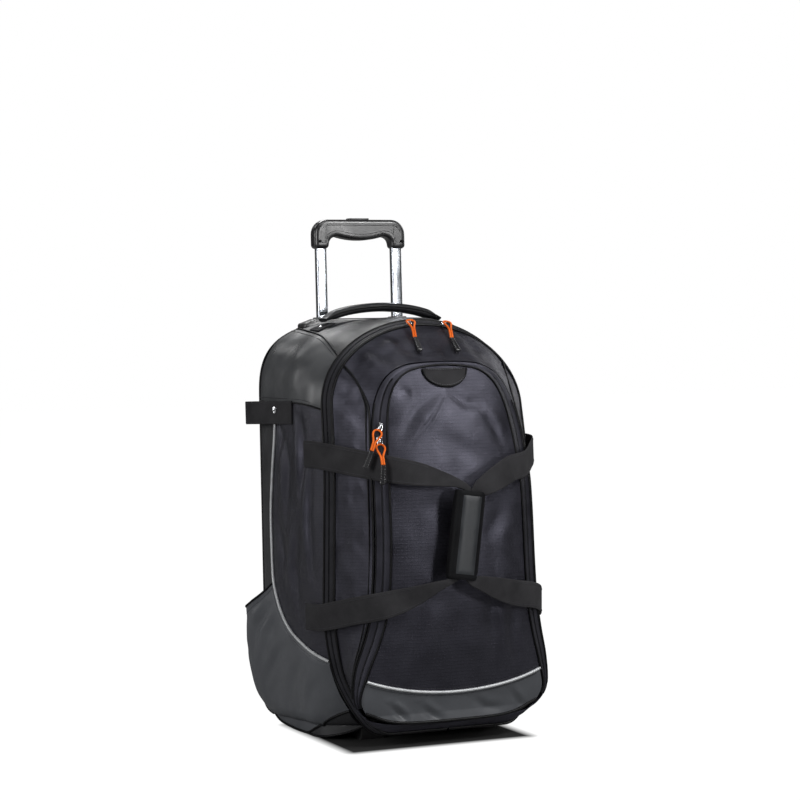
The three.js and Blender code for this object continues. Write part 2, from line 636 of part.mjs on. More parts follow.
const smileLine = steps(13).map((m) => {
  const u = 1.96 * m - 0.98;
  return pocketFace(u, smileAt(u), PIPING + GAP + 0.1);
});
addPiece("pocket_piping", sweep(smileLine, roundShape(PIPING), 18, 3), REFLECT);

const patchGrid = steps(6).map((share) => {
  const z = PATCH.topZ - 3 - share * PATCH.height;
  const half = readTable(POCKET_EDGE.slice(2), "z", z, "x");
  const reach = PATCH.half * Math.sqrt(1 - Math.pow(share * 0.93, 2));
  return steps(7).map((m) => pocketFace(Math.min(reach / half, 0.9) * (2 * m - 1), z, WALL + 3));
});
addPiece("grab_patch", wallSolid(patchGrid, HEART), WEB);

// Carrying straps, their wrap and the top handle

/** Webbing along rows of points, each with its facing direction and width. */
function webbing(rows, count, thick = STRAP_THICK) {
  const path = new THREE.CatmullRomCurve3(rows.map((row) => row.at), false, "centripetal");
  const facing = new THREE.CatmullRomCurve3(rows.map((row) => row.face), false, "centripetal");
  const edges = new THREE.CatmullRomCurve3(rows.map((row) => new THREE.Vector3(row.width, 0, 0)), false, "centripetal");
  const faces = [];
  const grid = steps(count).map((t) => {
    const middle = path.getPoint(t);
    const flow = path.getTangent(t);
    const face = facing.getPoint(t).addScaledVector(flow, -facing.getPoint(t).dot(flow)).normalize();
    const half = edges.getPoint(t).x / 2;
    const across = flow.clone().cross(face).normalize();
    faces.push(face);
    middle.addScaledVector(face, thick / 2);
    return [-half, half].map((reach) => middle.clone().addScaledVector(across, reach));
  });
  const points = [];
  grid.forEach((row, i) => row.forEach((p) => points.push([p, p.clone().addScaledVector(faces[i], -thick)])));
  return ribbonSolid(grid, points);
}

/** Closed ribbon from a grid of outer points and their matching inner points. */
function ribbonSolid(grid, pairs) {
  const cols = grid[0].length;
  const rows = grid.length;
  const points = [...pairs.map((pair) => pair[0]), ...pairs.map((pair) => pair[1])];
  const shift = pairs.length;
  const index = [];
  const quad = (a, b, c, d) => index.push(a, b, c, a, c, d);
  for (let r = 0; r < rows - 1; r += 1) {
    for (let c = 0; c < cols - 1; c += 1) {
      const a = r * cols + c;
      quad(a, a + cols, a + cols + 1, a + 1);
      quad(shift + a, shift + a + 1, shift + a + cols + 1, shift + a + cols);
    }
    const left = r * cols;
    const right = left + cols - 1;
    quad(left + cols, left, shift + left, shift + left + cols);
    quad(right, right + cols, shift + right + cols, shift + right);
  }
  const last = (rows - 1) * cols;
  for (let c = 0; c < cols - 1; c += 1) {
    quad(c, c + 1, shift + c + 1, shift + c);
    quad(last + c + 1, last + c, shift + last + c, shift + last + c + 1);
  }
  return closedGeometry(points, index);
}

const wrapX = (z) => lerp(WRAP.footX, WRAP.topX, (z - WRAP.footZ) / (WRAP.topZ - WRAP.footZ));
for (const side of SIDES) {
  const lane = side.sign * (STRAP_IN_WRAP / 2 + 1.6);
  const armRow = (row, z, outward, shiftX) => ({
    at: new THREE.Vector3(side.sign * (row.x + outward) + shiftX, row.y, z),
    face: new THREE.Vector3(side.sign * row.nx, row.ny, 0),
    width: row.width,
  });
  const wrapRow = (z, width, x = 0) => ({
    at: new THREE.Vector3(wrapX(z) + lane + side.sign * x, WRAP.y, z),
    face: new THREE.Vector3(0, -1, 0),
    width,
  });
  const share = (row) => clamp((110 - row.x) / 80, 0, 1);
  const upper = STRAP_ARM.map((row) => armRow(row, STRAP_UPPER_Z - row.drop, 0, 0));
  const lower = STRAP_ARM.map((row) => {
    return armRow(row, STRAP_LOWER_Z + row.drop * 1.05, row.lower, WRAP.footX * share(row));
  }).reverse();
  const inside = [
    wrapRow(WRAP.topZ + 15, 25, 8),
    wrapRow(WRAP.topZ + 3, STRAP_IN_WRAP, 0.8),
    wrapRow(WRAP.topZ - 12, STRAP_IN_WRAP),
    wrapRow((WRAP.topZ + WRAP.footZ) / 2, STRAP_IN_WRAP),
    wrapRow(WRAP.footZ + 12, STRAP_IN_WRAP),
    wrapRow(WRAP.footZ - 3, STRAP_IN_WRAP, 0.8),
    wrapRow(WRAP.footZ - 15, 25, 8),
  ];
  addPiece(`carry_strap_${side.name}`, webbing([...upper, ...inside, ...lower], 55), WEB);
}

const wrapShape = roundedRect(THREE.Shape, WRAP.wide, WRAP.deep, 11);
wrapShape.holes.push(roundedRect(THREE.Path, WRAP.slotWide, WRAP.slotDeep, 3));
const wrapLong = Math.hypot(WRAP.topX - WRAP.footX, WRAP.topZ - WRAP.footZ);
const wrap = addPiece("grip_wrap", upright(wrapShape, -wrapLong / 2, wrapLong / 2, 2), PAD);
wrap.position.set((WRAP.topX + WRAP.footX) / 2, WRAP.y, (WRAP.topZ + WRAP.footZ) / 2);
wrap.rotation.y = Math.atan2(WRAP.topX - WRAP.footX, WRAP.topZ - WRAP.footZ);

const handleLine = HANDLE_ROWS.map((row) => new THREE.Vector3(row.x, HANDLE.y, row.z));
const handleShape = roundedRect(THREE.Shape, HANDLE.wide, HANDLE.thick, 6.5);
addPiece("top_handle", sweep(handleLine, handleShape, 14, 2), WEB);

for (const side of SIDES) {
  const tabGrid = steps(5).map((share) => {
    const reach = lerp(HANDLE.tabFrom, HANDLE.tabTo, share);
    return steps(4).map((m) => {
      const y = HANDLE.y + HANDLE.tabWide * (m - 0.5);
      const section = outlineBetween((BACK.topY - y) / (BACK.topY - MIDDLE.topY));
      const low = section.archZ + (section.topZ - section.archZ)
        * Math.pow(1 - Math.pow(reach / section.waist, section.bow), 1 / section.bow);
      return new THREE.Vector3(side.sign * reach, y, low + GAP + 2.2);
    });
  });
  addPiece(`handle_tab_${side.name}`, wallSolid(tabGrid, HEART, 1.8), WEB);
}

// Trolley

const holeWide = TUBE.wide + 2 * GAP;
const holeDeep = TUBE.deep + 2 * GAP;
const tubeHole = (x, lowZ, topZ) => toSolid(upright(
  roundedRect(THREE.Shape, holeWide, holeDeep, TUBE.round + GAP, x, TROLLEY.y), lowZ, topZ,
));

const plateShape = new THREE.Shape();
plateShape.moveTo(-PLATE.half, PLATE.lowZ);
plateShape.lineTo(PLATE.half, PLATE.lowZ);
plateShape.lineTo(PLATE.half, PLATE.endZ);
plateShape.quadraticCurveTo(PLATE.half - 4, PLATE.topZ, PLATE.half - 22, PLATE.topZ);
plateShape.lineTo(22 - PLATE.half, PLATE.topZ);
plateShape.quadraticCurveTo(4 - PLATE.half, PLATE.topZ, -PLATE.half, PLATE.endZ);
const plate = toSolid(acrossDepth(plateShape, PLATE.frontY, PLATE.backY));
const plateCut = plate
  .subtract(tubeHole(-TROLLEY.x, PLATE.lowZ - 5, PLATE.topZ + 5))
  .subtract(tubeHole(TROLLEY.x, PLATE.lowZ - 5, PLATE.topZ + 5));
addPiece("top_plate", fromSolid(plateCut), MOULDED);

const gripShape = new THREE.Shape();
const legIn = GRIP.half - GRIP.leg;
gripShape.moveTo(GRIP.half, TROLLEY.legZ);
gripShape.lineTo(GRIP.half, TROLLEY.topZ - GRIP.round);
gripShape.absarc(GRIP.half - GRIP.round, TROLLEY.topZ - GRIP.round, GRIP.round, 0, Math.PI / 2);
gripShape.absarc(GRIP.round - GRIP.half, TROLLEY.topZ - GRIP.round, GRIP.round, Math.PI / 2, Math.PI);
gripShape.lineTo(-GRIP.half, TROLLEY.legZ);
gripShape.lineTo(-legIn, TROLLEY.legZ);
gripShape.lineTo(-legIn, TROLLEY.legZ + 12);
gripShape.quadraticCurveTo(-legIn + 2, TROLLEY.topZ - 29, -legIn + 16, TROLLEY.topZ - 29);
gripShape.quadraticCurveTo(0, TROLLEY.topZ - 41, legIn - 16, TROLLEY.topZ - 29);
gripShape.quadraticCurveTo(legIn - 2, TROLLEY.topZ - 29, legIn, TROLLEY.legZ + 12);
gripShape.lineTo(legIn, TROLLEY.legZ);
const gripBody = toSolid(acrossDepth(
  gripShape, TROLLEY.y - GRIP.deep / 2, TROLLEY.y + GRIP.deep / 2, GRIP.bevel, 4,
));
const recess = toSolid(boxBetween(
  [-BUTTON.wide / 2 - GAP, TROLLEY.y - BUTTON.deep / 2 - GAP, BUTTON.recessZ],
  [BUTTON.wide / 2 + GAP, TROLLEY.y + BUTTON.deep / 2 + GAP, TROLLEY.topZ + 5],
));
const socketTop = TROLLEY.legZ + TUBE.socket;
const gripCut = gripBody
  .subtract(recess)
  .subtract(tubeHole(-TROLLEY.x, TROLLEY.legZ - 5, socketTop))
  .subtract(tubeHole(TROLLEY.x, TROLLEY.legZ - 5, socketTop));
addPiece("trolley_grip", fromSolid(gripCut), MOULDED);

const buttonShape = roundedRect(THREE.Shape, BUTTON.wide, BUTTON.deep, 4, 0, TROLLEY.y);
addPiece("release_button", upright(buttonShape, BUTTON.recessZ + BUTTON.clear, BUTTON.topZ), RUBBER);

for (const side of SIDES) {
  const x = side.sign * TROLLEY.x;
  const tubeShape = roundedRect(THREE.Shape, TUBE.wide, TUBE.deep, TUBE.round, x, TROLLEY.y);
  tubeShape.holes.push(roundedRect(
    THREE.Path, TUBE.wide - 2 * TUBE.wall, TUBE.deep - 2 * TUBE.wall, TUBE.round - TUBE.wall, x, TROLLEY.y,
  ));
  addPiece(`trolley_tube_${side.name}`, upright(tubeShape, TROLLEY.legZ - TUBE.below, socketTop - GAP), ALUMINIUM);

  const sleeveShape = roundedRect(
    THREE.Shape, holeWide + 2 * SLEEVE.wall, holeDeep + 2 * SLEEVE.wall, TUBE.round + SLEEVE.wall, x, TROLLEY.y,
  );
  sleeveShape.holes.push(roundedRect(THREE.Path, holeWide, holeDeep, TUBE.round + GAP, x, TROLLEY.y));
  addPiece(`trolley_sleeve_${side.name}`, upright(sleeveShape, SLEEVE.footZ, SLEEVE.topZ), ALUMINIUM);

  const screw = new THREE.CylinderGeometry(2.6, 2.6, 1.6, 12);
  screw.translate(x + side.sign * 6, TROLLEY.y - GRIP.deep / 2 - 0.8 - GAP / 2, TROLLEY.legZ + 12);
  addPiece(`grip_screw_${side.name}`, screw, ALUMINIUM);
}

// Running gear

const floorAt = (y) => (y * Math.sin(LEAN) - FLOOR_LIFT) / Math.cos(LEAN);
const wheelZ = floorAt(WHEEL.y) + WHEEL.radius / Math.cos(LEAN);

/** A solid of revolution about the axle, from rows of radius and place along the axle. */
function aboutAxle(rows, x, sides = 24) {
  const profile = rows.map((row) => new THREE.Vector2(row.radius, row.along));
  profile.push(profile[0].clone());
  const geometry = new THREE.LatheGeometry(profile, sides);
  return geometry.rotateZ(-Math.PI / 2).translate(x, WHEEL.y, wheelZ);
}

const tyreRows = [
  { radius: WHEEL.rim, along: -WHEEL.width / 2 + 2 },
  { radius: WHEEL.radius - 4, along: -WHEEL.width / 2 },
  { radius: WHEEL.radius, along: -WHEEL.width / 2 + 5 },
  { radius: WHEEL.radius, along: WHEEL.width / 2 - 5 },
  { radius: WHEEL.radius - 4, along: WHEEL.width / 2 },
  { radius: WHEEL.rim, along: WHEEL.width / 2 - 2 },
];
const hubRows = [
  { radius: WHEEL.bore, along: -WHEEL.width / 2 },
  { radius: 10, along: -WHEEL.width / 2 },
  { radius: WHEEL.rim - GAP, along: -WHEEL.width / 2 + 4 },
  { radius: WHEEL.rim - GAP, along: WHEEL.width / 2 - 4 },
  { radius: 10, along: WHEEL.width / 2 },
  { radius: WHEEL.bore, along: WHEEL.width / 2 },
];

for (const side of SIDES) {
  const x = side.sign * WHEEL.x;
  addPiece(`wheel_tyre_${side.name}`, aboutAxle(tyreRows, x), RUBBER);
  addPiece(`wheel_hub_${side.name}`, aboutAxle(hubRows, x), MOULDED);

  const span = HOUSING.outX - HOUSING.inX;
  const midX = (side.sign * (HOUSING.outX + HOUSING.inX)) / 2;
  const block = toSolid(boxBetween(
    [midX - span / 2, HOUSING.frontY, HOUSING.lowZ], [midX + span / 2, HOUSING.backY, HOUSING.topZ],
  ));
  const wellWide = span - 2 * HOUSING.cheek;
  const bowl = new THREE.CylinderGeometry(HOUSING.well, HOUSING.well, wellWide, 32);
  const well = toSolid(bowl.rotateZ(Math.PI / 2).translate(midX, WHEEL.y, wheelZ));
  const mouth = toSolid(boxBetween(
    [midX - wellWide / 2, WHEEL.y - HOUSING.well + 3, -20], [midX + wellWide / 2, HOUSING.backY + 30, wheelZ],
  ));
  const gate = toSolid(boxBetween(
    [midX - wellWide / 2, WHEEL.y, wheelZ - 10], [midX + wellWide / 2, HOUSING.backY + 30, wheelZ + 34],
  ));
  const pin = new THREE.CylinderGeometry(WHEEL.axle, WHEEL.axle, wellWide + 4, 16);
  const axle = toSolid(pin.rotateZ(Math.PI / 2).translate(midX, WHEEL.y, wheelZ));
  const housing = block.subtract(well).subtract(mouth).subtract(gate).add(axle);
  addPiece(`wheel_housing_${side.name}`, fromSolid(housing), MOULDED);

  const footShape = new THREE.Shape();
  footShape.moveTo(FOOT.frontY, BOARD.lowZ - GAP);
  footShape.lineTo(FOOT.frontY + 5, floorAt(FOOT.frontY + 5));
  footShape.lineTo(FOOT.backY - 5, floorAt(FOOT.backY - 5));
  footShape.lineTo(FOOT.backY, BOARD.lowZ - GAP);
  const foot = new THREE.ExtrudeGeometry(footShape, { depth: FOOT.wide, bevelEnabled: false });
  foot.rotateX(Math.PI / 2).rotateZ(Math.PI / 2);
  foot.translate(side.sign * FOOT.x - FOOT.wide / 2, 0, 0);
  addPiece(`front_foot_${side.name}`, foot, RUBBER);
}

// Zip pulls: a metal slider, a loop of cord and a moulded tip

/** Group standing at a point, its -Y along a direction and its +Z as near as may be to a facing direction. */
function hangingGroup(origin, along, facing) {
  const group = new THREE.Group();
  const down = along.clone().normalize();
  const face = facing.clone().addScaledVector(down, -facing.dot(down)).normalize();
  const across = face.clone().cross(down);
  group.matrix.makeBasis(across, down.clone().negate(), face);
  group.matrix.setPosition(origin);
  group.matrix.decompose(group.position, group.quaternion, group.scale);
  bag.add(group);
  return { group, across, face };
}

for (const pull of ZIP_PULLS) {
  const face = new THREE.Vector3(...pull.face).normalize();
  const at = new THREE.Vector3(...pull.at);
  const knot = new THREE.Vector3(...pull.knot);
  const end = new THREE.Vector3(...pull.end);
  const hang = knot.clone().sub(at);
  hang.addScaledVector(face, -hang.dot(face));

  const rest = hangingGroup(at, hang, face);
  const sliderShape = roundedRect(THREE.Shape, SLIDER.wide, SLIDER.long, 3);
  addPiece(`zip_slider_${pull.name}`, upright(sliderShape, 0, SLIDER.thick, 1), ALUMINIUM, rest.group);

  const tip = hangingGroup(knot, end.clone().sub(knot), face);
  const tipLong = end.distanceTo(knot);
  const tipShape = new THREE.Shape();
  tipShape.moveTo(-PULL.tipWide / 2, -2 * GAP);
  tipShape.lineTo(-PULL.tipEnd / 2, 2 - tipLong);
  tipShape.quadraticCurveTo(0, -tipLong - 1, PULL.tipEnd / 2, 2 - tipLong);
  tipShape.lineTo(PULL.tipWide / 2, -2 * GAP);
  const tipBody = upright(tipShape, -PULL.tipThick / 2, PULL.tipThick / 2, 3);
  addPiece(`pull_tip_${pull.name}`, tipBody, RUBBER, tip.group);

  const lift = SLIDER.thick + PULL.cord + GAP;
  const crest = at.clone().addScaledVector(face, lift).addScaledVector(hang.normalize(), SLIDER.long / 2 - 1);
  const bend = crest.clone().lerp(knot, 0.55).addScaledVector(face, 4);
  const strand = (point, side) => point.clone().addScaledVector(tip.across, side * PULL.spread);
  const loop = [
    strand(knot, -1),
    strand(bend, -1),
    strand(crest.clone().lerp(knot, 0.1), -0.9),
    crest,
    strand(crest.clone().lerp(knot, 0.1), 0.9),
    strand(bend, 1),
    strand(knot, 1),
  ];
  addPiece(`pull_cord_${pull.name}`, sweep(loop, roundShape(PULL.cord), 14, 3), ORANGE);
}

// Stick holder on the left side: a strap standing off the bag, closed with a snap

const strapRows = STICK_STRAP_ROWS.map((row, i) => {
  const at = sidePoint(-1, Math.min(row.y, BACK.y), STICK_STRAP.z, row.out).setY(row.y);
  const next = STICK_STRAP_ROWS[Math.min(i + 1, STICK_STRAP_ROWS.length - 1)];
  const last = STICK_STRAP_ROWS[Math.max(i - 1, 0)];
  const face = new THREE.Vector3(-(next.y - last.y), -(last.out - next.out), 0).normalize();
  return { at, face, width: STICK_STRAP.width };
});
addPiece("stick_strap", webbing(strapRows, 29, 2.4), WEB);
const snapOut = readTable(STICK_STRAP_ROWS, "y", STICK_STRAP.snapY, "out") + 2.6;
const snapAt = sidePoint(-1, STICK_STRAP.snapY, STICK_STRAP.z + 4, snapOut + 1);
const snap = addPiece("stick_snap", new THREE.CylinderGeometry(5, 6, 2.4, 16), ALUMINIUM);
snap.position.copy(snapAt);
snap.rotation.z = Math.PI / 2 + 0.2;

// Lean the bag back on its wheels and set it on the floor, with the origin under the middle of its outline

bag.rotation.x = -LEAN;
bag.updateMatrixWorld(true);
const reach = new THREE.Box3().setFromObject(bag, true);
bag.position.set(-(reach.min.x + reach.max.x) / 2, -(reach.min.y + reach.max.y) / 2, FLOOR_LIFT);

const object = new THREE.Group();
object.add(bag);

export default object;
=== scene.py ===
"""Dresses a wheeled sports bag: sewn cloth shell, zips, straps, trolley handle, wheels and a small studio.

Shapes are laid out in the bag's own upright frame, in millimetres: the front pocket faces -Y and the trolley
stands along +Y. The stance turns them into the frame's metres.
"""
import logging
import math
from contextlib import contextmanager
from dataclasses import astuple, dataclass, field
from enum import Enum
from typing import Callable, Iterator, Sequence

import bpy
import numpy as np
from mathutils import Matrix, Vector, noise


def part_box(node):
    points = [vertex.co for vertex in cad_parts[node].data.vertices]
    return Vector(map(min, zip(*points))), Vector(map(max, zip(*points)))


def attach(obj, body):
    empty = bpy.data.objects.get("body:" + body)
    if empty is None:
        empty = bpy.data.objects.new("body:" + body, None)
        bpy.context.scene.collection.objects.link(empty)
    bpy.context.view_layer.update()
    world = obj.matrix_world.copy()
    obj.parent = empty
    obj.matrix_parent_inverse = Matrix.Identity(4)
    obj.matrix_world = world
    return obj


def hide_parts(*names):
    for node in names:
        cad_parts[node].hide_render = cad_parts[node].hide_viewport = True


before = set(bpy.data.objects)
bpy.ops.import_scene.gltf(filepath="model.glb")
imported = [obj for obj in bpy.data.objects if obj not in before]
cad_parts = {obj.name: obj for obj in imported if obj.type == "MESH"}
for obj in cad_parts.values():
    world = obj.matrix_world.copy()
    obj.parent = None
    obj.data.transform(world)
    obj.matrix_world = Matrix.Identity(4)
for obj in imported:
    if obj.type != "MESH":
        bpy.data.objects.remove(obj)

LOG = logging.getLogger("wheeled_bag")
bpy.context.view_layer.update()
MM = 0.001
LEAN = math.radians(3.3)
FLOOR_LIFT = 14.0
WHEEL_Y, WHEEL_RADIUS = 128.0, 36.0
HEART = np.array([0.0, 20.0, 320.0])
SIDES = (("left", -1.0), ("right", 1.0))
FORWARD = (0.0, -1.0, 0.0)

Array = np.ndarray
Object = bpy.types.Object
Socket = bpy.types.NodeSocket
Point = tuple[float, float, float]
Pair = tuple[float, float]


# Numbers and curves


def lerp(a: Array, b: Array, share: Array) -> Array:
    """Value a share of the way from a to b."""
    return a + (b - a) * share


def smoothstep(value: Array, low: float, high: float) -> Array:
    """Eased share of the way from low to high, held at 0 and 1 outside."""
    share = np.clip((np.asarray(value, float) - low) / (high - low), 0.0, 1.0)
    return share * share * (3.0 - 2.0 * share)


def unit(vectors: Array) -> Array:
    """Vectors of length one along the last axis."""
    return vectors / np.maximum(np.linalg.norm(vectors, axis=-1, keepdims=True), 1e-9)


def run_length(path: Array) -> Array:
    """Distance along a path at each of its points."""
    return np.concatenate([[0.0], np.cumsum(np.linalg.norm(np.diff(path, axis=0), axis=1))])


def rows_at(at: Array, places: Array, rows: Array) -> Array:
    """Rows read between the places where they are known."""
    return np.stack([np.interp(at, places, column) for column in rows.T], axis=1)


def hill(count: int, power: float) -> Array:
    """Shares that rise from 0 at both ends to 1 in the middle."""
    return np.sin(np.pi * np.linspace(0.0, 1.0, count)) ** power


def flipped(points: Array, sign: float = -1.0) -> Array:
    """Points on the other side of the bag's middle, or the same ones where the sign is 1."""
    return points * (sign, 1.0, 1.0)


def oval(turn: Array, wide: float, deep: float, square: Pair) -> Array:
    """Points of a rounded rectangle about the origin.

    Args:
        turn: Angles round it.
        wide: Size along the first axis.
        deep: Size along the second axis.
        square: Power for each axis, 1 for an ellipse and less for squarer corners.

    Returns:
        Two coordinates for each angle.
    """
    c, s = np.cos(turn), np.sin(turn)
    across = np.sign(c) * np.abs(c) ** square[0] * wide / 2
    return np.stack([across, np.sign(s) * np.abs(s) ** square[1] * deep / 2], axis=-1)


class Smooth:
    """A smooth curve through the rows of a table that doesn't overshoot between them."""

    def __init__(self, keys: Sequence[float], rows: Sequence[Sequence[float]]) -> None:
        """Works out the slope at each row.

        Args:
            keys: Rising place of each row.
            rows: Values at each place.
        """
        self.keys = np.asarray(keys, float)
        self.rows = np.asarray(rows, float).reshape(len(self.keys), -1)
        gap = np.diff(self.keys)[:, None]
        rise = np.diff(self.rows, axis=0) / gap
        self.slopes = np.zeros_like(self.rows)
        self.slopes[0], self.slopes[-1] = rise[0], rise[-1]
        before, after = 2 * gap[1:] + gap[:-1], gap[1:] + 2 * gap[:-1]
        steady = rise[:-1] * rise[1:] > 0
        first = np.where(steady, rise[:-1], 1.0)
        second = np.where(steady, rise[1:], 1.0)
        self.slopes[1:-1] = np.where(steady, (before + after) / (before / first + after / second), 0.0)

    def __call__(self, at: Array) -> Array:
        """Values at one or more places.

        Args:
            at: Places along the table.

        Returns:
            Values with one more axis, for the columns.
        """
        at = np.clip(np.asarray(at, float), self.keys[0], self.keys[-1])
        i = np.clip(np.searchsorted(self.keys, at, side="right") - 1, 0, len(self.keys) - 2)
        gap = (self.keys[i + 1] - self.keys[i])[..., None]
        t = ((at - self.keys[i])[..., None]) / gap
        start = (1 + 2 * t) * (1 - t) ** 2 * self.rows[i] + t * (1 - t) ** 2 * gap * self.slopes[i]
        end = t * t * (3 - 2 * t) * self.rows[i + 1] + t * t * (t - 1) * gap * self.slopes[i + 1]
        return start + end


def through(points: Sequence[Sequence[float]], count: int) -> Array:
    """Even points along a smooth curve through a few rows.

    Args:
        points: Rows to pass through. The first three columns are a point, and any others go along with it.
        count: How many rows to give back.

    Returns:
        The rows, evenly spaced along the curve.
    """
    rows = np.asarray(points, float)
    rows = np.concatenate([2 * rows[:1] - rows[1:2], rows, 2 * rows[-1:] - rows[-2:-1]])
    steps = np.sqrt(np.linalg.norm(np.diff(rows[:, :3], axis=0), axis=1))
    knots = np.concatenate([[0.0], np.cumsum(steps)])
    t = np.linspace(knots[1], knots[-2], count * 6)
    i = np.clip(np.searchsorted(knots, t, side="right") - 1, 1, len(knots) - 3)

    def mix(first: Array, last: Array, start: Array, end: Array) -> Array:
        """Rows between two others at the times t."""
        share = ((t - start) / (end - start))[:, None]
        return first * (1 - share) + last * share

    k = [knots[i + step] for step in (-1, 0, 1, 2)]
    p = [rows[i + step] for step in (-1, 0, 1, 2)]
    low, middle, high = (mix(p[n], p[n + 1], k[n], k[n + 1]) for n in range(3))
    fine = mix(mix(low, middle, k[0], k[2]), mix(middle, high, k[1], k[3]), k[1], k[2])
    along = run_length(fine[:, :3])
    return rows_at(np.linspace(0.0, along[-1], count), along, fine)


def crumple(points: Array, scale: float, seed: float, octaves: int = 3) -> Array:
    """Smooth random height at each point, about -1 to 1, the same on every run.

    Args:
        points: Points in millimetres.
        scale: Size of the largest lumps in millimetres.
        seed: Shift that picks another pattern.
        octaves: Layers of finer lumps.

    Returns:
        One height for each point.
    """
    flat = points.reshape(-1, 3) / scale + seed
    heights = [noise.fractal(Vector(p), 1.0, 2.0, octaves) for p in flat]
    return np.array(heights).reshape(points.shape[:-1])


# The frame of the bag


class Stance:
    """Turns the bag's own upright millimetres into the frame's metres."""

    def __init__(self) -> None:
        """Finds the place of the bag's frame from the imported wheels."""
        self.turn = np.array(Matrix.Rotation(-LEAN, 3, "X"))
        self.wheel_z = (WHEEL_Y * math.sin(LEAN) - FLOOR_LIFT + WHEEL_RADIUS) / math.cos(LEAN)
        corners = [corner for name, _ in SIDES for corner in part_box(f"wheel_tyre_{name}")]
        middle = np.mean([list(corner) for corner in corners], axis=0) / MM
        self.shift = middle - self.turn @ np.array([0.0, WHEEL_Y, self.wheel_z])

    def place(self, points: Array) -> Array:
        """Points of the bag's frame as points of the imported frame, in metres."""
        return (np.asarray(points, float) @ self.turn.T + self.shift) * MM

    def matrix(self) -> Matrix:
        """The same move for meshes modelled in metres in the bag's frame."""
        return Matrix.Translation(Vector(self.shift * MM)) @ Matrix.Rotation(-LEAN, 4, "X")


STANCE = Stance()


# Mesh tools


def deselect() -> None:
    """Leaves edit mode and selects nothing."""
    if bpy.context.mode != "OBJECT":
        bpy.ops.object.mode_set(mode="OBJECT")
    bpy.ops.object.select_all(action="DESELECT")


def activate(obj: Object) -> None:
    """Makes a piece the only selected one and the active one.

    Args:
        obj: Piece to select.
    """
    deselect()
    obj.select_set(True)
    bpy.context.view_layer.objects.active = obj


@contextmanager
def editing(obj: Object) -> Iterator[None]:
    """Opens a piece in edit mode with everything selected.

    Args:
        obj: Piece to edit.

    Yields:
        Nothing, while the piece is open.
    """
    activate(obj)
    bpy.ops.object.mode_set(mode="EDIT")
    bpy.ops.mesh.select_all(action="SELECT")
    yield
    bpy.ops.object.mode_set(mode="OBJECT")


def face_out(obj: Object, fill: bool = True) -> Object:
    """Turns the faces of a piece outwards.

    Args:
        obj: Piece to work on.
        fill: True to close its open ends first.

    Returns:
        The same piece.
    """
    with editing(obj):
        if fill:
            bpy.ops.mesh.fill_holes(sides=0)
            bpy.ops.mesh.select_all(action="SELECT")
        bpy.ops.mesh.normals_make_consistent(inside=False)
    return obj


def reshaped(obj: Object, spots: Array) -> Object:
    """Moves the corners of a mesh to points in metres.

    Args:
        obj: Piece to work on.
        spots: One point for each corner.

    Returns:
        The same piece.
    """
    obj.data.vertices.foreach_set("co", spots.astype(np.float32).ravel())
    obj.data.update()
    return obj


def named(name: str) -> Object:
    """Names the piece that was just added.

    Args:
        name: Name for it and its mesh.

    Returns:
        The piece.
    """
    obj = bpy.context.object
    obj.name = name
    obj.data.name = name
    return obj


@contextmanager
def picking(obj: Object, mode: str, test: Callable[[Vector], bool]) -> Iterator[None]:
    """Opens a piece in edit mode with the parts selected whose middle passes a test.

    Args:
        obj: Piece to select in.
        mode: VERT, EDGE or FACE.
        test: Says for a point in metres if it is wanted.

    Yields:
        Nothing, while the piece is open.
    """
    mesh = obj.data
    corners = [vertex.co for vertex in mesh.vertices]
    parts, spots = {
        "VERT": (mesh.vertices, corners),
        "EDGE": (mesh.edges, [(corners[e.vertices[0]] + corners[e.vertices[1]]) / 2 for e in mesh.edges]),
        "FACE": (mesh.polygons, [face.center for face in mesh.polygons]),
    }[mode]
    wanted = [test(spot) for spot in spots]
    with editing(obj):
        bpy.ops.mesh.select_mode(type=mode)
        bpy.ops.mesh.select_all(action="DESELECT")
    parts.foreach_set("select", wanted)
    bpy.ops.object.mode_set(mode="EDIT")
    yield
    bpy.ops.object.mode_set(mode="OBJECT")


def apply_modifiers(obj: Object) -> Object:
    """Applies every modifier of a piece.

    Args:
        obj: Piece to work on.

    Returns:
        The same piece.
    """
    activate(obj)
    for modifier in list(obj.modifiers):
        bpy.ops.object.modifier_apply(modifier=modifier.name)
    return obj


def soften(obj: Object, width: float, segments: int = 3, angle: float = 35.0, clamp: bool = True) -> Object:
    """Rounds the sharp edges of a hard piece.

    Args:
        obj: Piece to round.
        width: Width of the rounding in millimetres.
        segments: Facets across it.
        angle: Edges sharper than this are rounded, in degrees.
        clamp: True to narrow the rounding where it has no room.

    Returns:
        The same piece.
    """
    bevel = obj.modifiers.new("rounding", "BEVEL")
    bevel.width = width * MM
    bevel.segments = segments
    bevel.limit_method = "ANGLE"
    bevel.angle_limit = math.radians(angle)
    bevel.use_clamp_overlap = clamp
    return apply_modifiers(obj)


def smooth_shade(obj: Object, angle: float = 40.0) -> Object:
    """Shades a piece smooth apart from its sharp edges.

    Args:
        obj: Piece to shade.
        angle: Edges sharper than this stay sharp, in degrees.

    Returns:
        The same piece.
    """
    activate(obj)
    bpy.ops.object.shade_smooth_by_angle(angle=math.radians(angle))
    return obj


def cut(obj: Object, cutter: Object, how: str = "DIFFERENCE") -> Object:
    """Cuts a piece with another one, which is used up.

    Args:
        obj: Piece to cut.
        cutter: Piece that marks the cut.
        how: Kind of boolean.

    Returns:
        The cut piece.
    """
    boolean = obj.modifiers.new("cut", "BOOLEAN")
    boolean.operation = how
    boolean.solver = "EXACT"
    boolean.object = cutter
    apply_modifiers(obj)
    bpy.data.objects.remove(cutter)
    return obj


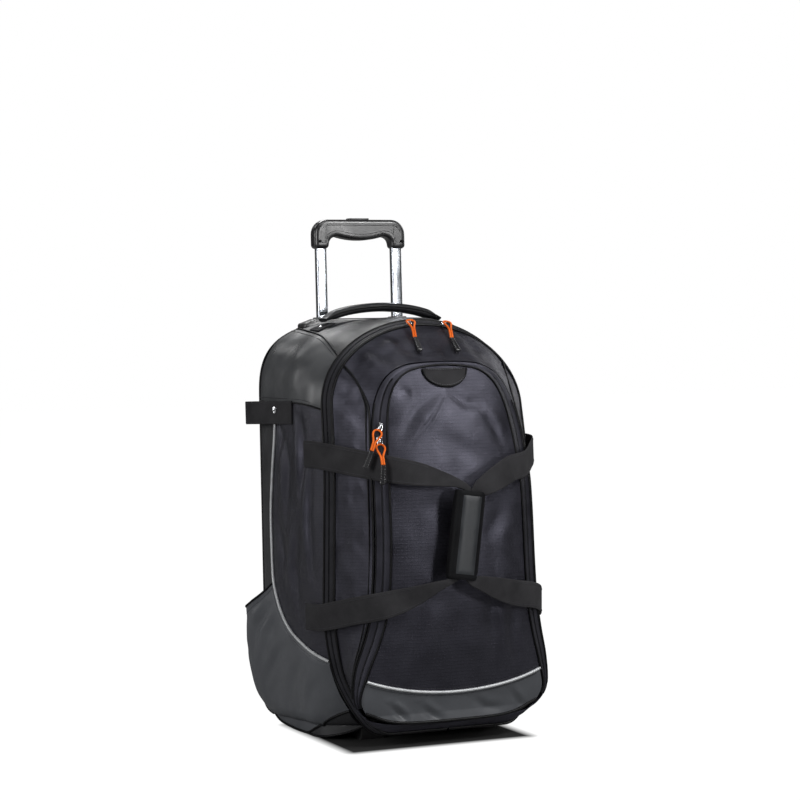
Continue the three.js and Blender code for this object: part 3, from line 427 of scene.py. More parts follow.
def join(parts: Sequence[Object], name: str) -> Object:
    """Joins several meshes into one piece.

    Args:
        parts: Pieces to join, which are used up.
        name: Name of the new piece.

    Returns:
        The joined piece.
    """
    activate(parts[0])
    for part in parts:
        part.select_set(True)
    bpy.ops.object.join()
    return named(name)


def block(name: str, low: Sequence[float], high: Sequence[float]) -> Object:
    """A block to shape further, with its place in its mesh.

    Args:
        name: Name of the piece.
        low: Its lowest corner in millimetres.
        high: Its highest corner in millimetres.

    Returns:
        The block, in metres.
    """
    deselect()
    bpy.ops.mesh.primitive_cube_add(size=1.0)
    obj = named(name)
    size = [(b - a) * MM for a, b in zip(low, high)]
    middle = [(a + b) / 2 * MM for a, b in zip(low, high)]
    obj.data.transform(Matrix.Translation(middle) @ Matrix.Diagonal((*size, 1.0)))
    return obj


def turned(name: str, rows: Sequence[tuple[float, float]], sides: int = 48, closed: bool = True) -> Object:
    """A piece turned about +Z by drawing a circle out through rows of radius and height.

    Args:
        name: Name of the piece.
        rows: Radius and place along the axis, in millimetres.
        sides: Facets around.
        closed: True for a ring whose last row joins its first, False for a solid with flat ends.

    Returns:
        The piece, centred on the origin, in metres.
    """
    deselect()
    start = rows[0]
    bpy.ops.mesh.primitive_circle_add(vertices=sides, radius=start[0] * MM)
    obj = named(name)
    obj.data.transform(Matrix.Translation((0, 0, start[1] * MM)))
    with editing(obj):
        for (radius, along), (next_radius, next_along) in zip(rows, rows[1:]):
            shift = (0, 0, (next_along - along) * MM)
            bpy.ops.mesh.extrude_edges_move(TRANSFORM_OT_translate={"value": shift})
            ratio = next_radius / radius
            bpy.ops.transform.resize(value=(ratio, ratio, 1.0), center_override=(0, 0, next_along * MM))
        if closed:
            bpy.ops.mesh.select_all(action="SELECT")
            bpy.ops.mesh.remove_doubles(threshold=1e-6)
    return face_out(obj, fill=not closed)


def copy_of(obj: Object, name: str, matrix: Matrix) -> Object:
    """A copy of a piece with a mesh of its own.

    Args:
        obj: Piece to copy.
        name: Name of the copy.
        matrix: Move of the copy's mesh.

    Returns:
        The copy.
    """
    twin = obj.copy()
    twin.data = obj.data.copy()
    twin.name = name
    twin.data.name = name
    bpy.context.scene.collection.objects.link(twin)
    twin.data.transform(matrix)
    return twin


def grid_normals(grid: Array, ring: bool = False) -> Array:
    """Unit normals of a grid of points, on the side away from the bag's heart.

    Args:
        grid: Rows and columns of points.
        ring: True if the last column joins the first.

    Returns:
        One normal for each point.
    """
    wide = np.concatenate([grid[:, -2:-1], grid, grid[:, 1:2]], axis=1) if ring else grid
    across = np.gradient(wide, axis=1)
    across = across[:, 1:-1] if ring else across
    normals = unit(np.cross(np.gradient(grid, axis=0), across))
    return normals if np.sum(normals * (grid - HEART)) > 0 else -normals


def arc_uv(grid: Array) -> Array:
    """Map of a grid in metres: run along its columns and along its rows.

    Args:
        grid: Points in millimetres.

    Returns:
        One place on the map for each point.
    """
    steps_across = np.linalg.norm(np.diff(grid, axis=1), axis=2)
    steps_along = np.linalg.norm(np.diff(grid, axis=0), axis=2)
    across = np.concatenate([np.zeros((grid.shape[0], 1)), np.cumsum(steps_across, axis=1)], axis=1)
    along = np.concatenate([np.zeros((1, grid.shape[1])), np.cumsum(steps_along, axis=0)], axis=0)
    return np.stack([across, along], axis=2) * MM


def flat_uv(grid: Array, first: int, second: int) -> Array:
    """Map of a grid in metres, seen along one axis of the bag."""
    return grid[..., [first, second]] * MM


def lay(name: str, grid: Array, uv: Array | None = None, merge: bool = False) -> Object:
    """A sheet laid through a grid of points.

    Args:
        name: Name of the piece.
        grid: Rows and columns of points in the bag's frame, in millimetres.
        uv: Map in metres, or None to measure it along the sheet.
        merge: True to join edges that lie on each other.

    Returns:
        The piece, in place, facing away from the bag's heart.
    """
    rows, cols = grid.shape[:2]
    deselect()
    bpy.ops.mesh.primitive_grid_add(x_subdivisions=cols - 1, y_subdivisions=rows - 1, size=1.0)
    obj = reshaped(named(name), STANCE.place(grid))
    mesh = obj.data
    chart = (arc_uv(grid) if uv is None else uv).reshape(-1, 2)
    corner = np.zeros(len(mesh.loops), np.int32)
    mesh.loops.foreach_get("vertex_index", corner)
    mesh.uv_layers[0].data.foreach_set("uv", chart[corner].astype(np.float32).ravel())
    normals = grid_normals(grid)
    faces = unit(np.cross(np.gradient(grid, axis=1), np.gradient(grid, axis=0)))
    if np.sum(normals * faces) < 0:
        mesh.flip_normals()
    mesh.update()
    if merge:
        with editing(obj):
            bpy.ops.mesh.remove_doubles(threshold=2e-6)
    return obj


def thicken(obj: Object, thickness: float, offset: float = -1.0) -> Object:
    """Gives a sheet its thickness.

    Args:
        obj: Sheet to thicken.
        thickness: Thickness in millimetres.
        offset: -1 grows inwards, 0 both ways and 1 outwards.

    Returns:
        The same piece, shaded smooth.
    """
    wall = obj.modifiers.new("thickness", "SOLIDIFY")
    wall.thickness = thickness * MM
    wall.offset = offset
    wall.use_even_offset = False
    apply_modifiers(obj)
    return smooth_shade(obj, 50.0)


def carried_frames(path: Array, up: Array | None = None) -> tuple[Array, Array]:
    """Two unit directions across a path, carried along it without twist.

    Args:
        path: Points of the path.
        up: Direction that the first cross direction starts nearest to.

    Returns:
        The first and the second direction at each point.
    """
    tangents = unit(np.gradient(path, axis=0))
    guide = np.array([0.3, 0.2, 0.93]) if up is None else np.asarray(up, float)
    first = []
    for tangent in tangents:
        guide = unit(guide - tangent * np.dot(guide, tangent))
        first.append(guide)
    first = np.array(first)
    return first, np.cross(tangents, first)


def sweep(name: str, path: Array, radius: float, sides: int = 10, up: Array | None = None,
          tall: float = 1.0) -> Object:
    """A closed tube along a path.

    Args:
        name: Name of the piece.
        path: Points of its middle line in millimetres.
        radius: Radius in millimetres.
        sides: Facets around.
        up: Direction of its first cross axis.
        tall: Stretch along that axis.

    Returns:
        The tube, with round cross sections and filled ends.
    """
    first, second = carried_frames(path, up)
    angles = np.linspace(0.0, 2 * np.pi, sides + 1)
    c, s = np.cos(angles)[None, :, None], np.sin(angles)[None, :, None]
    ring = c * first[:, None] * tall + s * second[:, None]
    grid = path[:, None] + ring * radius
    chart = np.stack(np.broadcast_arrays(angles[None] * radius * MM, run_length(path)[:, None] * MM), axis=2)
    return smooth_shade(face_out(lay(name, grid, chart, merge=True)), 60.0)


class Grains:
    """Many small copies of one shape, gathered into one mesh."""

    def __init__(self, corners: Sequence[Sequence[float]], faces: Sequence[Sequence[int]]) -> None:
        """Keeps the shape of one copy.

        Args:
            corners: Its corners in millimetres: along, across and out of the surface.
            faces: Its faces as corner numbers.
        """
        self.corners = np.asarray(corners, float)
        self.faces = [tuple(face) for face in faces]
        self.points: list[Array] = []

    def add(self, at: Array, along: Array, out: Array) -> None:
        """Adds copies at points, each with its direction and facing.

        Args:
            at: Points in millimetres.
            along: Direction of each copy's length.
            out: Direction out of the surface.
        """
        along = unit(along)
        across = unit(np.cross(out, along))
        out = np.cross(along, across)
        basis = np.stack([along, across, out], axis=1)
        self.points.append(at[:, None] + np.einsum("ck,nkj->ncj", self.corners, basis))

    def line(self, path: Array, out: Array, pitch: float) -> None:
        """Adds copies along a path at an even pitch.

        Args:
            path: Points of the path in millimetres.
            out: Direction out of the surface at each point.
            pitch: Distance from copy to copy.
        """
        length = run_length(path)
        at = np.arange(pitch / 2, length[-1], pitch)
        flow = unit(np.gradient(path, axis=0))
        self.add(*(rows_at(at, length, rows) for rows in (path, flow, out)))

    def build(self, name: str) -> Object:
        """Makes the one mesh that holds every copy.

        Args:
            name: Name of the piece.

        Returns:
            The piece, shaded.
        """
        points = np.concatenate(self.points)
        count, corners = points.shape[:2]
        faces = [tuple(n * corners + i for i in face) for n in range(count) for face in self.faces]
        mesh = bpy.data.meshes.new(name)
        mesh.from_pydata(STANCE.place(points.reshape(-1, 3)).tolist(), [], faces)
        mesh.update()
        obj = bpy.data.objects.new(name, mesh)
        bpy.context.scene.collection.objects.link(obj)
        return smooth_shade(face_out(obj, fill=False), 60.0)


def bar_grain(length: float, width: float, height: float) -> Grains:
    """Small bars with pinched ends, such as stitches and zip teeth.

    Args:
        length: Length in millimetres.
        width: Width in millimetres.
        height: Height over the surface in millimetres.

    Returns:
        An empty gathering of such bars.
    """
    half, low = length / 2, -0.4 * height
    corners = []
    for along, scale in ((-half, 0.45), (-half * 0.55, 1.0), (half * 0.55, 1.0), (half, 0.45)):
        foot, top = width / 2 * scale, width / 2 * 0.6 * scale
        corners += [(along, -foot, low), (along, foot, low)]
        corners += [(along, top, height * scale), (along, -top, height * scale)]
    faces = [(0, 1, 2, 3), (12, 15, 14, 13)]
    for ring in range(3):
        for k in range(4):
            a, b = ring * 4 + k, ring * 4 + (k + 1) % 4
            faces.append((a, a + 4, b + 4, b))
    return Grains(corners, faces)


# Shader groups that several finishes share


class Group(Enum):
    """Shader groups by name."""

    WEAVE = "cloth_weave"
    RIP_LINES = "ripstop_lines"
    MOTTLE = "mottle"
    SCUFF = "edge_scuff"


class Wiring:
    """Short words for adding and linking shader nodes."""

    def __init__(self, tree: bpy.types.ShaderNodeTree) -> None:
        """Keeps the tree to work in."""
        self.tree = tree

    def node(self, kind: str, **settings: object) -> bpy.types.ShaderNode:
        """Adds a node and sets its properties.

        Args:
            kind: Type of node.
            settings: Its properties by name.

        Returns:
            The node.
        """
        made = self.tree.nodes.new(kind)
        for key, value in settings.items():
            setattr(made, key, value)
        return made

    def feed(self, socket: Socket, value: object) -> None:
        """Links a socket to another one or sets its value.

        Args:
            socket: Input to feed.
            value: Another socket, or a plain value.
        """
        if isinstance(value, Socket):
            self.tree.links.new(value, socket)
        else:
            socket.default_value = value

    def math(self, operation: str, *values: object) -> Socket:
        """Result of a math node.

        Args:
            operation: What it does.
            values: Sockets or plain values.

        Returns:
            Its output.
        """
        made = self.node("ShaderNodeMath", operation=operation)
        for socket, value in zip(made.inputs, values):
            self.feed(socket, value)
        return made.outputs[0]

    def blend(self, mask: object, low: object, high: object) -> Socket:
        """Colour mixed from two by a mask.

        Args:
            mask: 0 for the first colour, 1 for the second.
            low: The first colour.
            high: The second colour.

        Returns:
            The mixed colour.
        """
        made = self.node("ShaderNodeMix", data_type="RGBA")
        self.feed(made.inputs["Factor"], mask)
        self.feed(made.inputs[6], low)
        self.feed(made.inputs[7], high)
        return made.outputs[2]

    def span(self, value: object, low: float, high: float, to_low: float, to_high: float) -> Socket:
        """A value stretched from one range to another and held there.

        Args:
            value: What to stretch.
            low: Start of its range.
            high: End of its range.
            to_low: Start of the new range.
            to_high: End of the new range.

        Returns:
            The stretched value.
        """
        made = self.node("ShaderNodeMapRange")
        for socket, item in zip(made.inputs, (value, low, high, to_low, to_high)):
            self.feed(socket, item)
        return made.outputs[0]

    def group(self, name: Group, **values: object) -> bpy.types.ShaderNode:
        """Places a shared group with its own values.

        Args:
            name: Which group it is.
            values: Its inputs by name.

        Returns:
            The group's node.
        """
        made = self.node("ShaderNodeGroup")
        made.node_tree = bpy.data.node_groups[name.value]
        for key, value in values.items():
            self.feed(made.inputs[key], value)
        return made

    def bump(self, height: object, distance: float, strength: float = 1.0) -> Socket:
        """Normal from a height in shares of a distance in metres.

        Args:
            height: Height, 0 to 1.
            distance: How far a height of 1 stands proud.
            strength: Share of the bump that shows.

        Returns:
            The bent normal.
        """
        made = self.node("ShaderNodeBump")
        made.inputs["Strength"].default_value = strength
        made.inputs["Distance"].default_value = distance
        self.feed(made.inputs["Height"], height)
        return made.outputs["Normal"]

    def chart(self) -> bpy.types.bpy_prop_collection:
        """The two coordinates of the map, in metres.

        Returns:
            Outputs X and Y.
        """
        split = self.node("ShaderNodeSeparateXYZ")
        self.feed(split.inputs[0], self.node("ShaderNodeUVMap", uv_map="UVMap").outputs[0])
        return split.outputs

    def cloud(self, scale: object, detail: object) -> Socket:
        """Noise over the piece's own coordinates.

        Args:
            scale: Lumps in each metre.
            detail: How fine its smaller lumps go.

        Returns:
            The noise, 0 to 1.
        """
        made = self.node("ShaderNodeTexNoise")
        self.feed(made.inputs["Vector"], self.node("ShaderNodeTexCoord").outputs["Object"])
        self.feed(made.inputs["Scale"], scale)
        self.feed(made.inputs["Detail"], detail)
        return made.outputs[0]

    def ripple(self, along: object, pitch: object) -> Socket:
        """A sine wave along a coordinate."""
        return self.math("SINE", self.math("MULTIPLY", self.math("DIVIDE", along, pitch), 2 * math.pi))


def open_group(name: Group, inputs: dict[str, float],
               output: str) -> tuple[Wiring, bpy.types.bpy_prop_collection, Socket]:
    """Starts a shared shader group.

    Args:
        name: Which group it is.
        inputs: Its inputs with their usual values.
        output: Name of its output.

    Returns:
        Its wiring, the sockets that its inputs come from and the socket that its output goes to.
    """
    tree = bpy.data.node_groups.new(name.value, "ShaderNodeTree")
    for socket, value in inputs.items():
        item = tree.interface.new_socket(socket, in_out="INPUT", socket_type="NodeSocketFloat")
        item.default_value = value
    tree.interface.new_socket(output, in_out="OUTPUT", socket_type="NodeSocketFloat")
    wire = Wiring(tree)
    return wire, wire.node("NodeGroupInput").outputs, wire.node("NodeGroupOutput").inputs[output]


def build_groups() -> None:
    """Builds each shared shader group once."""
    wire, given, height = open_group(Group.WEAVE, {"Across": 0.001, "Along": 0.001, "Slant": 0.0}, "Height")
    chart = wire.chart()
    slid = wire.math("MULTIPLY_ADD", chart[1], given["Slant"], chart[0])
    warp, weft = wire.ripple(slid, given["Across"]), wire.ripple(chart[1], given["Along"])
    wire.feed(height, wire.math("MULTIPLY_ADD", wire.math("MULTIPLY", warp, weft), 0.5, 0.5))

    wire, given, lines = open_group(Group.RIP_LINES, {"Pitch": 0.0056, "Width": 0.16, "Cross": 0.3}, "Lines")
    chart = wire.chart()
    masks = []
    for axis in (1, 0):
        cell = wire.math("FRACT", wire.math("DIVIDE", chart[axis], given["Pitch"]))
        away = wire.math("ABSOLUTE", wire.math("SUBTRACT", cell, 0.5))
        masks.append(wire.math("LESS_THAN", away, given["Width"]))
    wire.feed(lines, wire.math("MAXIMUM", masks[0], wire.math("MULTIPLY", masks[1], given["Cross"])))

    wire, given, tone = open_group(Group.MOTTLE, {"Scale": 40.0, "Detail": 4.0}, "Tone")
    wire.feed(tone, wire.span(wire.cloud(given["Scale"], given["Detail"]), 0.3, 0.7, 0.0, 1.0))

    wire, given, mask = open_group(Group.SCUFF, {"Amount": 0.5, "Scale": 160.0}, "Mask")
    edge = wire.span(wire.node("ShaderNodeNewGeometry").outputs["Pointiness"], 0.52, 0.6, 0.0, 1.0)
    broken = wire.span(wire.cloud(given["Scale"], 6.0), 0.42, 0.62, 0.0, 1.0)
    wire.feed(mask, wire.math("MULTIPLY", wire.math("MULTIPLY", edge, broken), given["Amount"]))


# Finishes

Colour = tuple[float, float, float]


@dataclass(frozen=True)
class Finish:
    """What every finish has: a slot name, a colour pair, roughness and a fine grain."""

    name: str
    slot: str
    dark: Colour
    light: Colour
    roughness: float = 0.6
    rough_spread: float = 0.08
    mottle: float = 30.0
    grain: float = 900.0
    grain_depth: float = 0.00008
    metal: float = 0.0
    specular: float = 0.3
    gloss_tint: Colour = (1.0, 1.0, 1.0)

    def material(self) -> bpy.types.Material:
        """The finish's material, built on its first use."""
        found = bpy.data.materials.get(self.name)
        return found if found else self.build()

    def build(self) -> bpy.types.Material:
        """Builds the material from colour, roughness and surface.

        Returns:
            The new material.
        """
        made = bpy.data.materials.new(self.name)
        made.use_nodes = True
        wire = Wiring(made.node_tree)
        shader = made.node_tree.nodes["Principled BSDF"]
        tone = wire.group(Group.MOTTLE, Scale=self.mottle, Detail=4.0).outputs["Tone"]
        wire.feed(shader.inputs["Base Color"], self.colour(wire, tone))
        spread = self.rough_spread
        rough = wire.span(tone, 0.0, 1.0, self.roughness - spread, self.roughness + spread)
        wire.feed(shader.inputs["Roughness"], rough)
        shader.inputs["Metallic"].default_value = self.metal
        shader.inputs["Specular IOR Level"].default_value = self.specular
        shader.inputs["Specular Tint"].default_value = (*self.gloss_tint, 1.0)
        height, depth = self.surface(wire)
        wire.feed(shader.inputs["Normal"], wire.bump(height, depth))
        return made

    def colour(self, wire: Wiring, tone: Socket) -> Socket:
        """Colour of the surface, mottled between its two tones."""
        return wire.blend(tone, (*self.dark, 1.0), (*self.light, 1.0))

    def surface(self, wire: Wiring) -> tuple[Socket, float]:
        """Fine height of the surface and its depth in metres."""
        return wire.group(Group.MOTTLE, Scale=self.grain, Detail=3.0).outputs["Tone"], self.grain_depth


@dataclass(frozen=True)
class Cloth(Finish):
    """Woven cloth, plain or with ripstop lines."""

    across: float = 0.0011
    along: float = 0.0011
    slant: float = 0.0
    rip_pitch: float = 0.0
    rip_tone: Colour = (0.0, 0.0, 0.0)
    rip_share: float = 0.5
    weave_depth: float = 0.00018

    def lines(self, wire: Wiring) -> Socket:
        """Mask of the ripstop lines."""
        return wire.group(Group.RIP_LINES, Pitch=self.rip_pitch, Width=0.13, Cross=0.25).outputs["Lines"]

    def colour(self, wire: Wiring, tone: Socket) -> Socket:
        """Colour with the ripstop lines drawn in.

        Args:
            wire: Tree to build in.
            tone: Mask between the two tones.

        Returns:
            The colour.
        """
        plain = super().colour(wire, tone)
        if not self.rip_pitch:
            return plain
        share = wire.math("MULTIPLY", self.lines(wire), self.rip_share)
        return wire.blend(share, plain, (*self.rip_tone, 1.0))

    def surface(self, wire: Wiring) -> tuple[Socket, float]:
        """Height of the weave, with the ripstop threads standing proud.

        Args:
            wire: Tree to build in.

        Returns:
            Height of the surface and its depth in metres.
        """
        woven = wire.group(Group.WEAVE, Across=self.across, Along=self.along, Slant=self.slant)
        weave = woven.outputs["Height"]
        if self.rip_pitch:
            weave = wire.math("MULTIPLY_ADD", self.lines(wire), 0.9, weave)
        return weave, self.weave_depth


@dataclass(frozen=True)
class Worn(Finish):
    """Moulded plastic, rubber or metal with scuffed edges."""

    scuff: float = 0.35
    scuff_tone: Colour = (0.12, 0.12, 0.12)

    def colour(self, wire: Wiring, tone: Socket) -> Socket:
        """Colour with rubbed edges."""
        mask = wire.group(Group.SCUFF, Amount=self.scuff, Scale=220.0).outputs["Mask"]
        return wire.blend(mask, super().colour(wire, tone), (*self.scuff_tone, 1.0))


NYLON = Cloth("black_nylon_cloth", "black_nylon", (0.0115, 0.0118, 0.0134), (0.0200, 0.0206, 0.0229), 0.45,
              specular=0.5, weave_depth=0.00005)
RIPSTOP = Cloth("ripstop_cloth", "ripstop_nylon", (0.0054, 0.0053, 0.0071), (0.0090, 0.0089, 0.0116), 0.44,
                specular=0.66, gloss_tint=(0.80, 0.79, 1.0), rip_pitch=0.0056,
                rip_tone=(0.0020, 0.0020, 0.0028), rip_share=0.9, weave_depth=0.00007)
COATED = Finish("coated_grey_cloth", "coated_grey", (0.060, 0.0635, 0.0710), (0.077, 0.0810, 0.0895), 0.4,
                mottle=16.0, grain=1500.0, grain_depth=0.000003, specular=0.4)
# Painted shade: the same coated grey cloth as COATED, its colours darkened for the shoulder panels to stand
# in for the shade they fall in; it is glossier too.
COATED_SHADE_PAINTED = Finish("coated_dark_cloth", "coated_grey", (0.041, 0.0428, 0.0460), (0.053, 0.0554, 0.0592),
                     0.34, mottle=16.0, grain=1500.0, grain_depth=0.000003, specular=0.6)
WEBBING = Cloth("webbing_weave", "black_webbing", (0.0240, 0.0235, 0.0252), (0.0375, 0.0368, 0.0392), 0.7,
                specular=0.04, across=0.0021, along=0.0030, slant=0.55, weave_depth=0.00016)
TAPE = Cloth("zip_tape_weave", "zip_tape", (0.0160, 0.0160, 0.0190), (0.0255, 0.0255, 0.0300), 0.55,
             specular=0.1, across=0.0016, along=0.0012, weave_depth=0.00006)
POCKET_TAPE = Cloth("pocket_tape_weave", "zip_tape", (0.0072, 0.0072, 0.0088), (0.0120, 0.0120, 0.0144),
                    0.44, specular=0.6, gloss_tint=(0.80, 0.79, 1.0), across=0.0016, along=0.0012,
                    weave_depth=0.00006)
BINDING = Cloth("edge_binding", "black_nylon", (0.0026, 0.0026, 0.0031), (0.0048, 0.0048, 0.0056), 0.4,
                specular=0.15, across=0.0009, along=0.0016, weave_depth=0.00004)
COIL = Finish("zip_coil", "zip_tape", (0.0035, 0.0035, 0.004), (0.0065, 0.0065, 0.007), 0.35,
              grain_depth=0.000004, specular=0.15)
THREAD = Finish("sewing_thread", "black_nylon", (0.034, 0.034, 0.038), (0.055, 0.055, 0.061), 0.6,
                specular=0.05)
BOLD_THREAD = Finish("border_thread", "black_nylon", (0.075, 0.076, 0.082), (0.110, 0.111, 0.118), 0.6,
                     specular=0.05)
REFLECT = Finish("silver_piping", "reflective_piping", (0.40, 0.41, 0.42), (0.54, 0.55, 0.56), 0.42,
                 mottle=60.0, metal=0.25, grain=2500.0, grain_depth=0.00001)
PADDED = Cloth("padded_grey_cloth", "padded_grey", (0.017, 0.0189, 0.0217), (0.025, 0.0275, 0.0310), 0.42,
               specular=0.4, across=0.0014, along=0.0014, weave_depth=0.00004)
PADDED_BLACK = Cloth("padded_black_cloth", "black_webbing", (0.0080, 0.0082, 0.0095),
                     (0.0140, 0.0143, 0.0165), 0.38, specular=0.3, across=0.0012, along=0.0012,
                     weave_depth=0.00004)
SLEEVE = Cloth("wrap_sleeve_cloth", "black_webbing", (0.0045, 0.0046, 0.0052), (0.0080, 0.0082, 0.0092), 0.6,
               specular=0.08, across=0.0012, along=0.0012, weave_depth=0.00006)
MOULDED = Worn("moulded_plastic", "moulded_black", (0.0046, 0.0046, 0.0052), (0.0080, 0.0080, 0.0088), 0.34,
               specular=0.9, scuff=0.08, grain=1800.0, grain_depth=0.0000015,
               scuff_tone=(0.035, 0.035, 0.037))
RUBBER = Worn("moulded_rubber", "black_rubber", (0.0080, 0.0080, 0.0086), (0.0130, 0.0130, 0.0137), 0.42,
              specular=0.35, grain=1400.0, grain_depth=0.000006, scuff_tone=(0.04, 0.04, 0.04))
TIP = Worn("tip_rubber", "moulded_black", (0.0120, 0.0120, 0.0130), (0.0200, 0.0200, 0.0220), 0.3,
           specular=0.6, grain=1400.0, grain_depth=0.000002, scuff_tone=(0.05, 0.05, 0.05))
SCREW = Finish("blackened_steel", "moulded_black", (0.0012, 0.0012, 0.0014), (0.0022, 0.0022, 0.0025), 0.5,
               grain_depth=0.000002, specular=0.1)
TYRE = Worn("tyre_rubber", "tyre_black", (0.009, 0.009, 0.0095), (0.018, 0.0175, 0.017), 0.75,
            mottle=50.0, grain=900.0, scuff=0.7, scuff_tone=(0.07, 0.068, 0.064))
ALUMINIUM = Finish("drawn_aluminium", "satin_aluminium", (0.58, 0.61, 0.66), (0.68, 0.71, 0.76), 0.16,
                   rough_spread=0.04, mottle=24.0, grain=1200.0, grain_depth=0.000001, metal=1.0)
BRIGHT = Worn("plated_metal", "bright_metal", (0.62, 0.63, 0.65), (0.74, 0.75, 0.77), 0.18, metal=1.0,
              grain_depth=0.000001, scuff_tone=(0.35, 0.35, 0.36))
ORANGE = Cloth("braided_cord", "orange_cord", (0.62, 0.105, 0.013), (0.82, 0.175, 0.030), 0.7,
               specular=0.05, across=0.0017, along=0.0019, slant=0.9, weave_depth=0.00015)


def settle(obj: Object, finish: Finish, body: str = "bag", replaces: Sequence[str] = ()) -> Object:
    """Dresses a finished piece and fixes it to its body.

    Args:
        obj: The piece, in place.
        finish: Finish that it gets.
        body: Body that it moves with.
        replaces: Nodes that it stands for.

    Returns:
        The same piece.
    """
    obj.data.materials.clear()
    obj.data.materials.append(finish.material())
    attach(obj, body)
    if replaces:
        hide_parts(*replaces)
    LOG.info("%s: %d faces, on %s", obj.name, len(obj.data.polygons), body)
    return obj


def sew(node: str, grid: Array, finish: Finish, uv: Array | None = None, merge: bool = False,
        stands_in: bool = True) -> None:
    """Lays a sheet of cloth, gives it the wall's thickness and dresses it.

    Args:
        node: Node that it stands for, and the first part of its name.
        grid: Rows and columns of points in millimetres.
        finish: Finish that it gets.
        uv: Map in metres, or None to measure it along the sheet.
        merge: True to join edges that lie on each other.
        stands_in: False where it stands for no node.
    """
    sheet = thicken(lay(f"{node}_cloth", grid, uv, merge), WALL)
    settle(sheet, finish, replaces=(node,) if stands_in else ())


def bind(name: str, path: Array, radius: float, sides: int = 10) -> None:
    """Runs a dark binding along a path."""
    settle(sweep(name, path, radius, sides), BINDING)


# The body's surface

FOOT_V, CORNER_V, ARCH_V = 0.12, 0.35, 0.65
CROWN_FROM, CROWN_TO = 380.0, 640.0
SIDE_BULGE = 5.0
BACK_ROLL, BACK_ROLL_FROM = 6.0, 124.0
KNEE = 36.0
WALL = 2.2
WEB_SQUARE = (0.16, 0.55)


@dataclass(frozen=True)
class Outline:
    """An outline of the body, seen from the front: a foot with round corners, flat sides and an arch."""

    y: Array
    top_y: Array
    half: Array
    waist: Array
    arch_z: Array
    top_z: Array
    bow: Array
    seam: Array
    foot_z: Array
    foot_x: Array
    foot_h: Array

    def depth_at(self, z: Array) -> Array:
        """Depth of the outline at a height."""
        return lerp(self.y, self.top_y, smoothstep(z, CROWN_FROM, CROWN_TO))

    def half_at(self, z: Array) -> Array:
        """Half width of the outline at a height.

        Args:
            z: Height in millimetres.

        Returns:
            Half width in millimetres.
        """
        z = np.asarray(z, float)
        foot_top = self.foot_z + self.foot_h
        share = np.clip((z - self.arch_z) / (self.top_z - self.arch_z), 0.0, 1.0)
        arch = self.waist * (1.0 - share ** self.bow) ** (1.0 / self.bow)
        side = lerp(self.half, self.waist, (z - foot_top) / (self.arch_z - foot_top))
        drop = np.clip((foot_top - z) / self.foot_h, 0.0, 1.0)
        foot = self.half - self.foot_x * (1.0 - np.sqrt(1.0 - drop * drop))
        return np.where(z >= self.arch_z, arch, np.where(z >= foot_top, side, foot))

    def arch_point(self, angle: Array) -> Array:
        """Points of the arch, from the right-hand side over the crown to the left.

        Args:
            angle: Angles in degrees, 0 to 180.

        Returns:
            One point for each angle.
        """
        turn = np.radians(angle)
        c, s = np.cos(turn), np.sin(turn)
        reach = (np.abs(c) ** self.bow + np.abs(s) ** self.bow) ** (-1.0 / self.bow)
        z = self.arch_z + (self.top_z - self.arch_z) * s * reach
        return np.stack(np.broadcast_arrays(self.waist * c * reach, self.depth_at(z), z), axis=-1)

    def point(self, v: Array) -> Array:
        """Points of the right half, from the middle of the foot (0) to the crown (1).

        Args:
            v: Places along the half outline.

        Returns:
            One point for each place.
        """
        v = np.asarray(v, float)
        start = self.half - self.foot_x
        turn = np.clip((v - FOOT_V) / (CORNER_V - FOOT_V), 0.0, 1.0) * np.pi / 2
        rise = np.clip((v - CORNER_V) / (ARCH_V - CORNER_V), 0.0, 1.0)
        side_z = lerp(self.foot_z + self.foot_h, self.arch_z, rise)
        x = np.where(v <= FOOT_V, start * v / FOOT_V, start + self.foot_x * np.sin(turn))
        z = np.where(v <= FOOT_V, self.foot_z, self.foot_z + self.foot_h * (1.0 - np.cos(turn)))
        beside = v > CORNER_V
        x = np.where(beside, self.half_at(side_z), x)
        z = np.where(beside, side_z, z)
        low = np.stack([x, np.where(beside, self.depth_at(z), self.y), z], axis=-1)
        arch = self.arch_point(np.clip((v - ARCH_V) / (1.0 - ARCH_V), 0.0, 1.0) * 90.0)
        return np.where((v > ARCH_V)[..., None], arch, low)


BACK = Outline(150, 150, 187, 185, 525, 657, 3.0, 56, 8, 8, 14)
MIDDLE = Outline(-70, -8, 190, 185, 520, 658, 2.35, 47, 8, 12, 18)
FRONT = Outline(-102, -78, 186, 175, 510, 650, 2.0, 37, 8, 80, 196)
ZIP_EDGE = Outline(-125, -100, 179, 169, 510, 642, 2.0, 37, 10, 78, 192)
BODY = (BACK, MIDDLE, FRONT)
BETWEEN = Smooth((0, 1, 2), [astuple(outline) for outline in BODY])

# Rows of the side: seam depth and height, front edge height, rim depth and height, hem depth and height
SIDE_SEAMS = Smooth(range(10), (
    (72, 520, 508, 147, 523, 148, 523),
    (76, 470, 466, 147, 470, 148, 470),
    (88, 395, 405, 147, 395, 148, 395),
    (94, 334, 345, 147, 325, 148, 325),
    (90, 240, 275, 147, 204, 148, 204),
    (70, 196, 225, 147, 122, 148, 122),
    (22, 154, 180, 146, 54, 146, 40),
    (-35, 132, 148, 92, 16, 90, -4),
    (-76, 119, 124, -10, 16, -4, -11),
    (-99, 112, 115, -100, 18, -101, 32),
))
LAST_ROW = 9.0


def outline_between(place: Array) -> Outline:
    """Outline at a place from the back (0) over the middle (1) to the front (2)."""
    return Outline(*np.moveaxis(BETWEEN(place), -1, 0))


def ring_of(half_point: Callable[[Array], Array], count: int) -> Array:
    """Closed loop of points round a symmetric outline, from its foot up the right side and down the left.

    Args:
        half_point: Gives the points of the right half.
        count: Points on one half.

    Returns:
        Points whose last one lies on the first.
    """
    right = half_point(np.linspace(0.0, 1.0, count))
    return np.concatenate([right, flipped(right[::-1])[1:]])


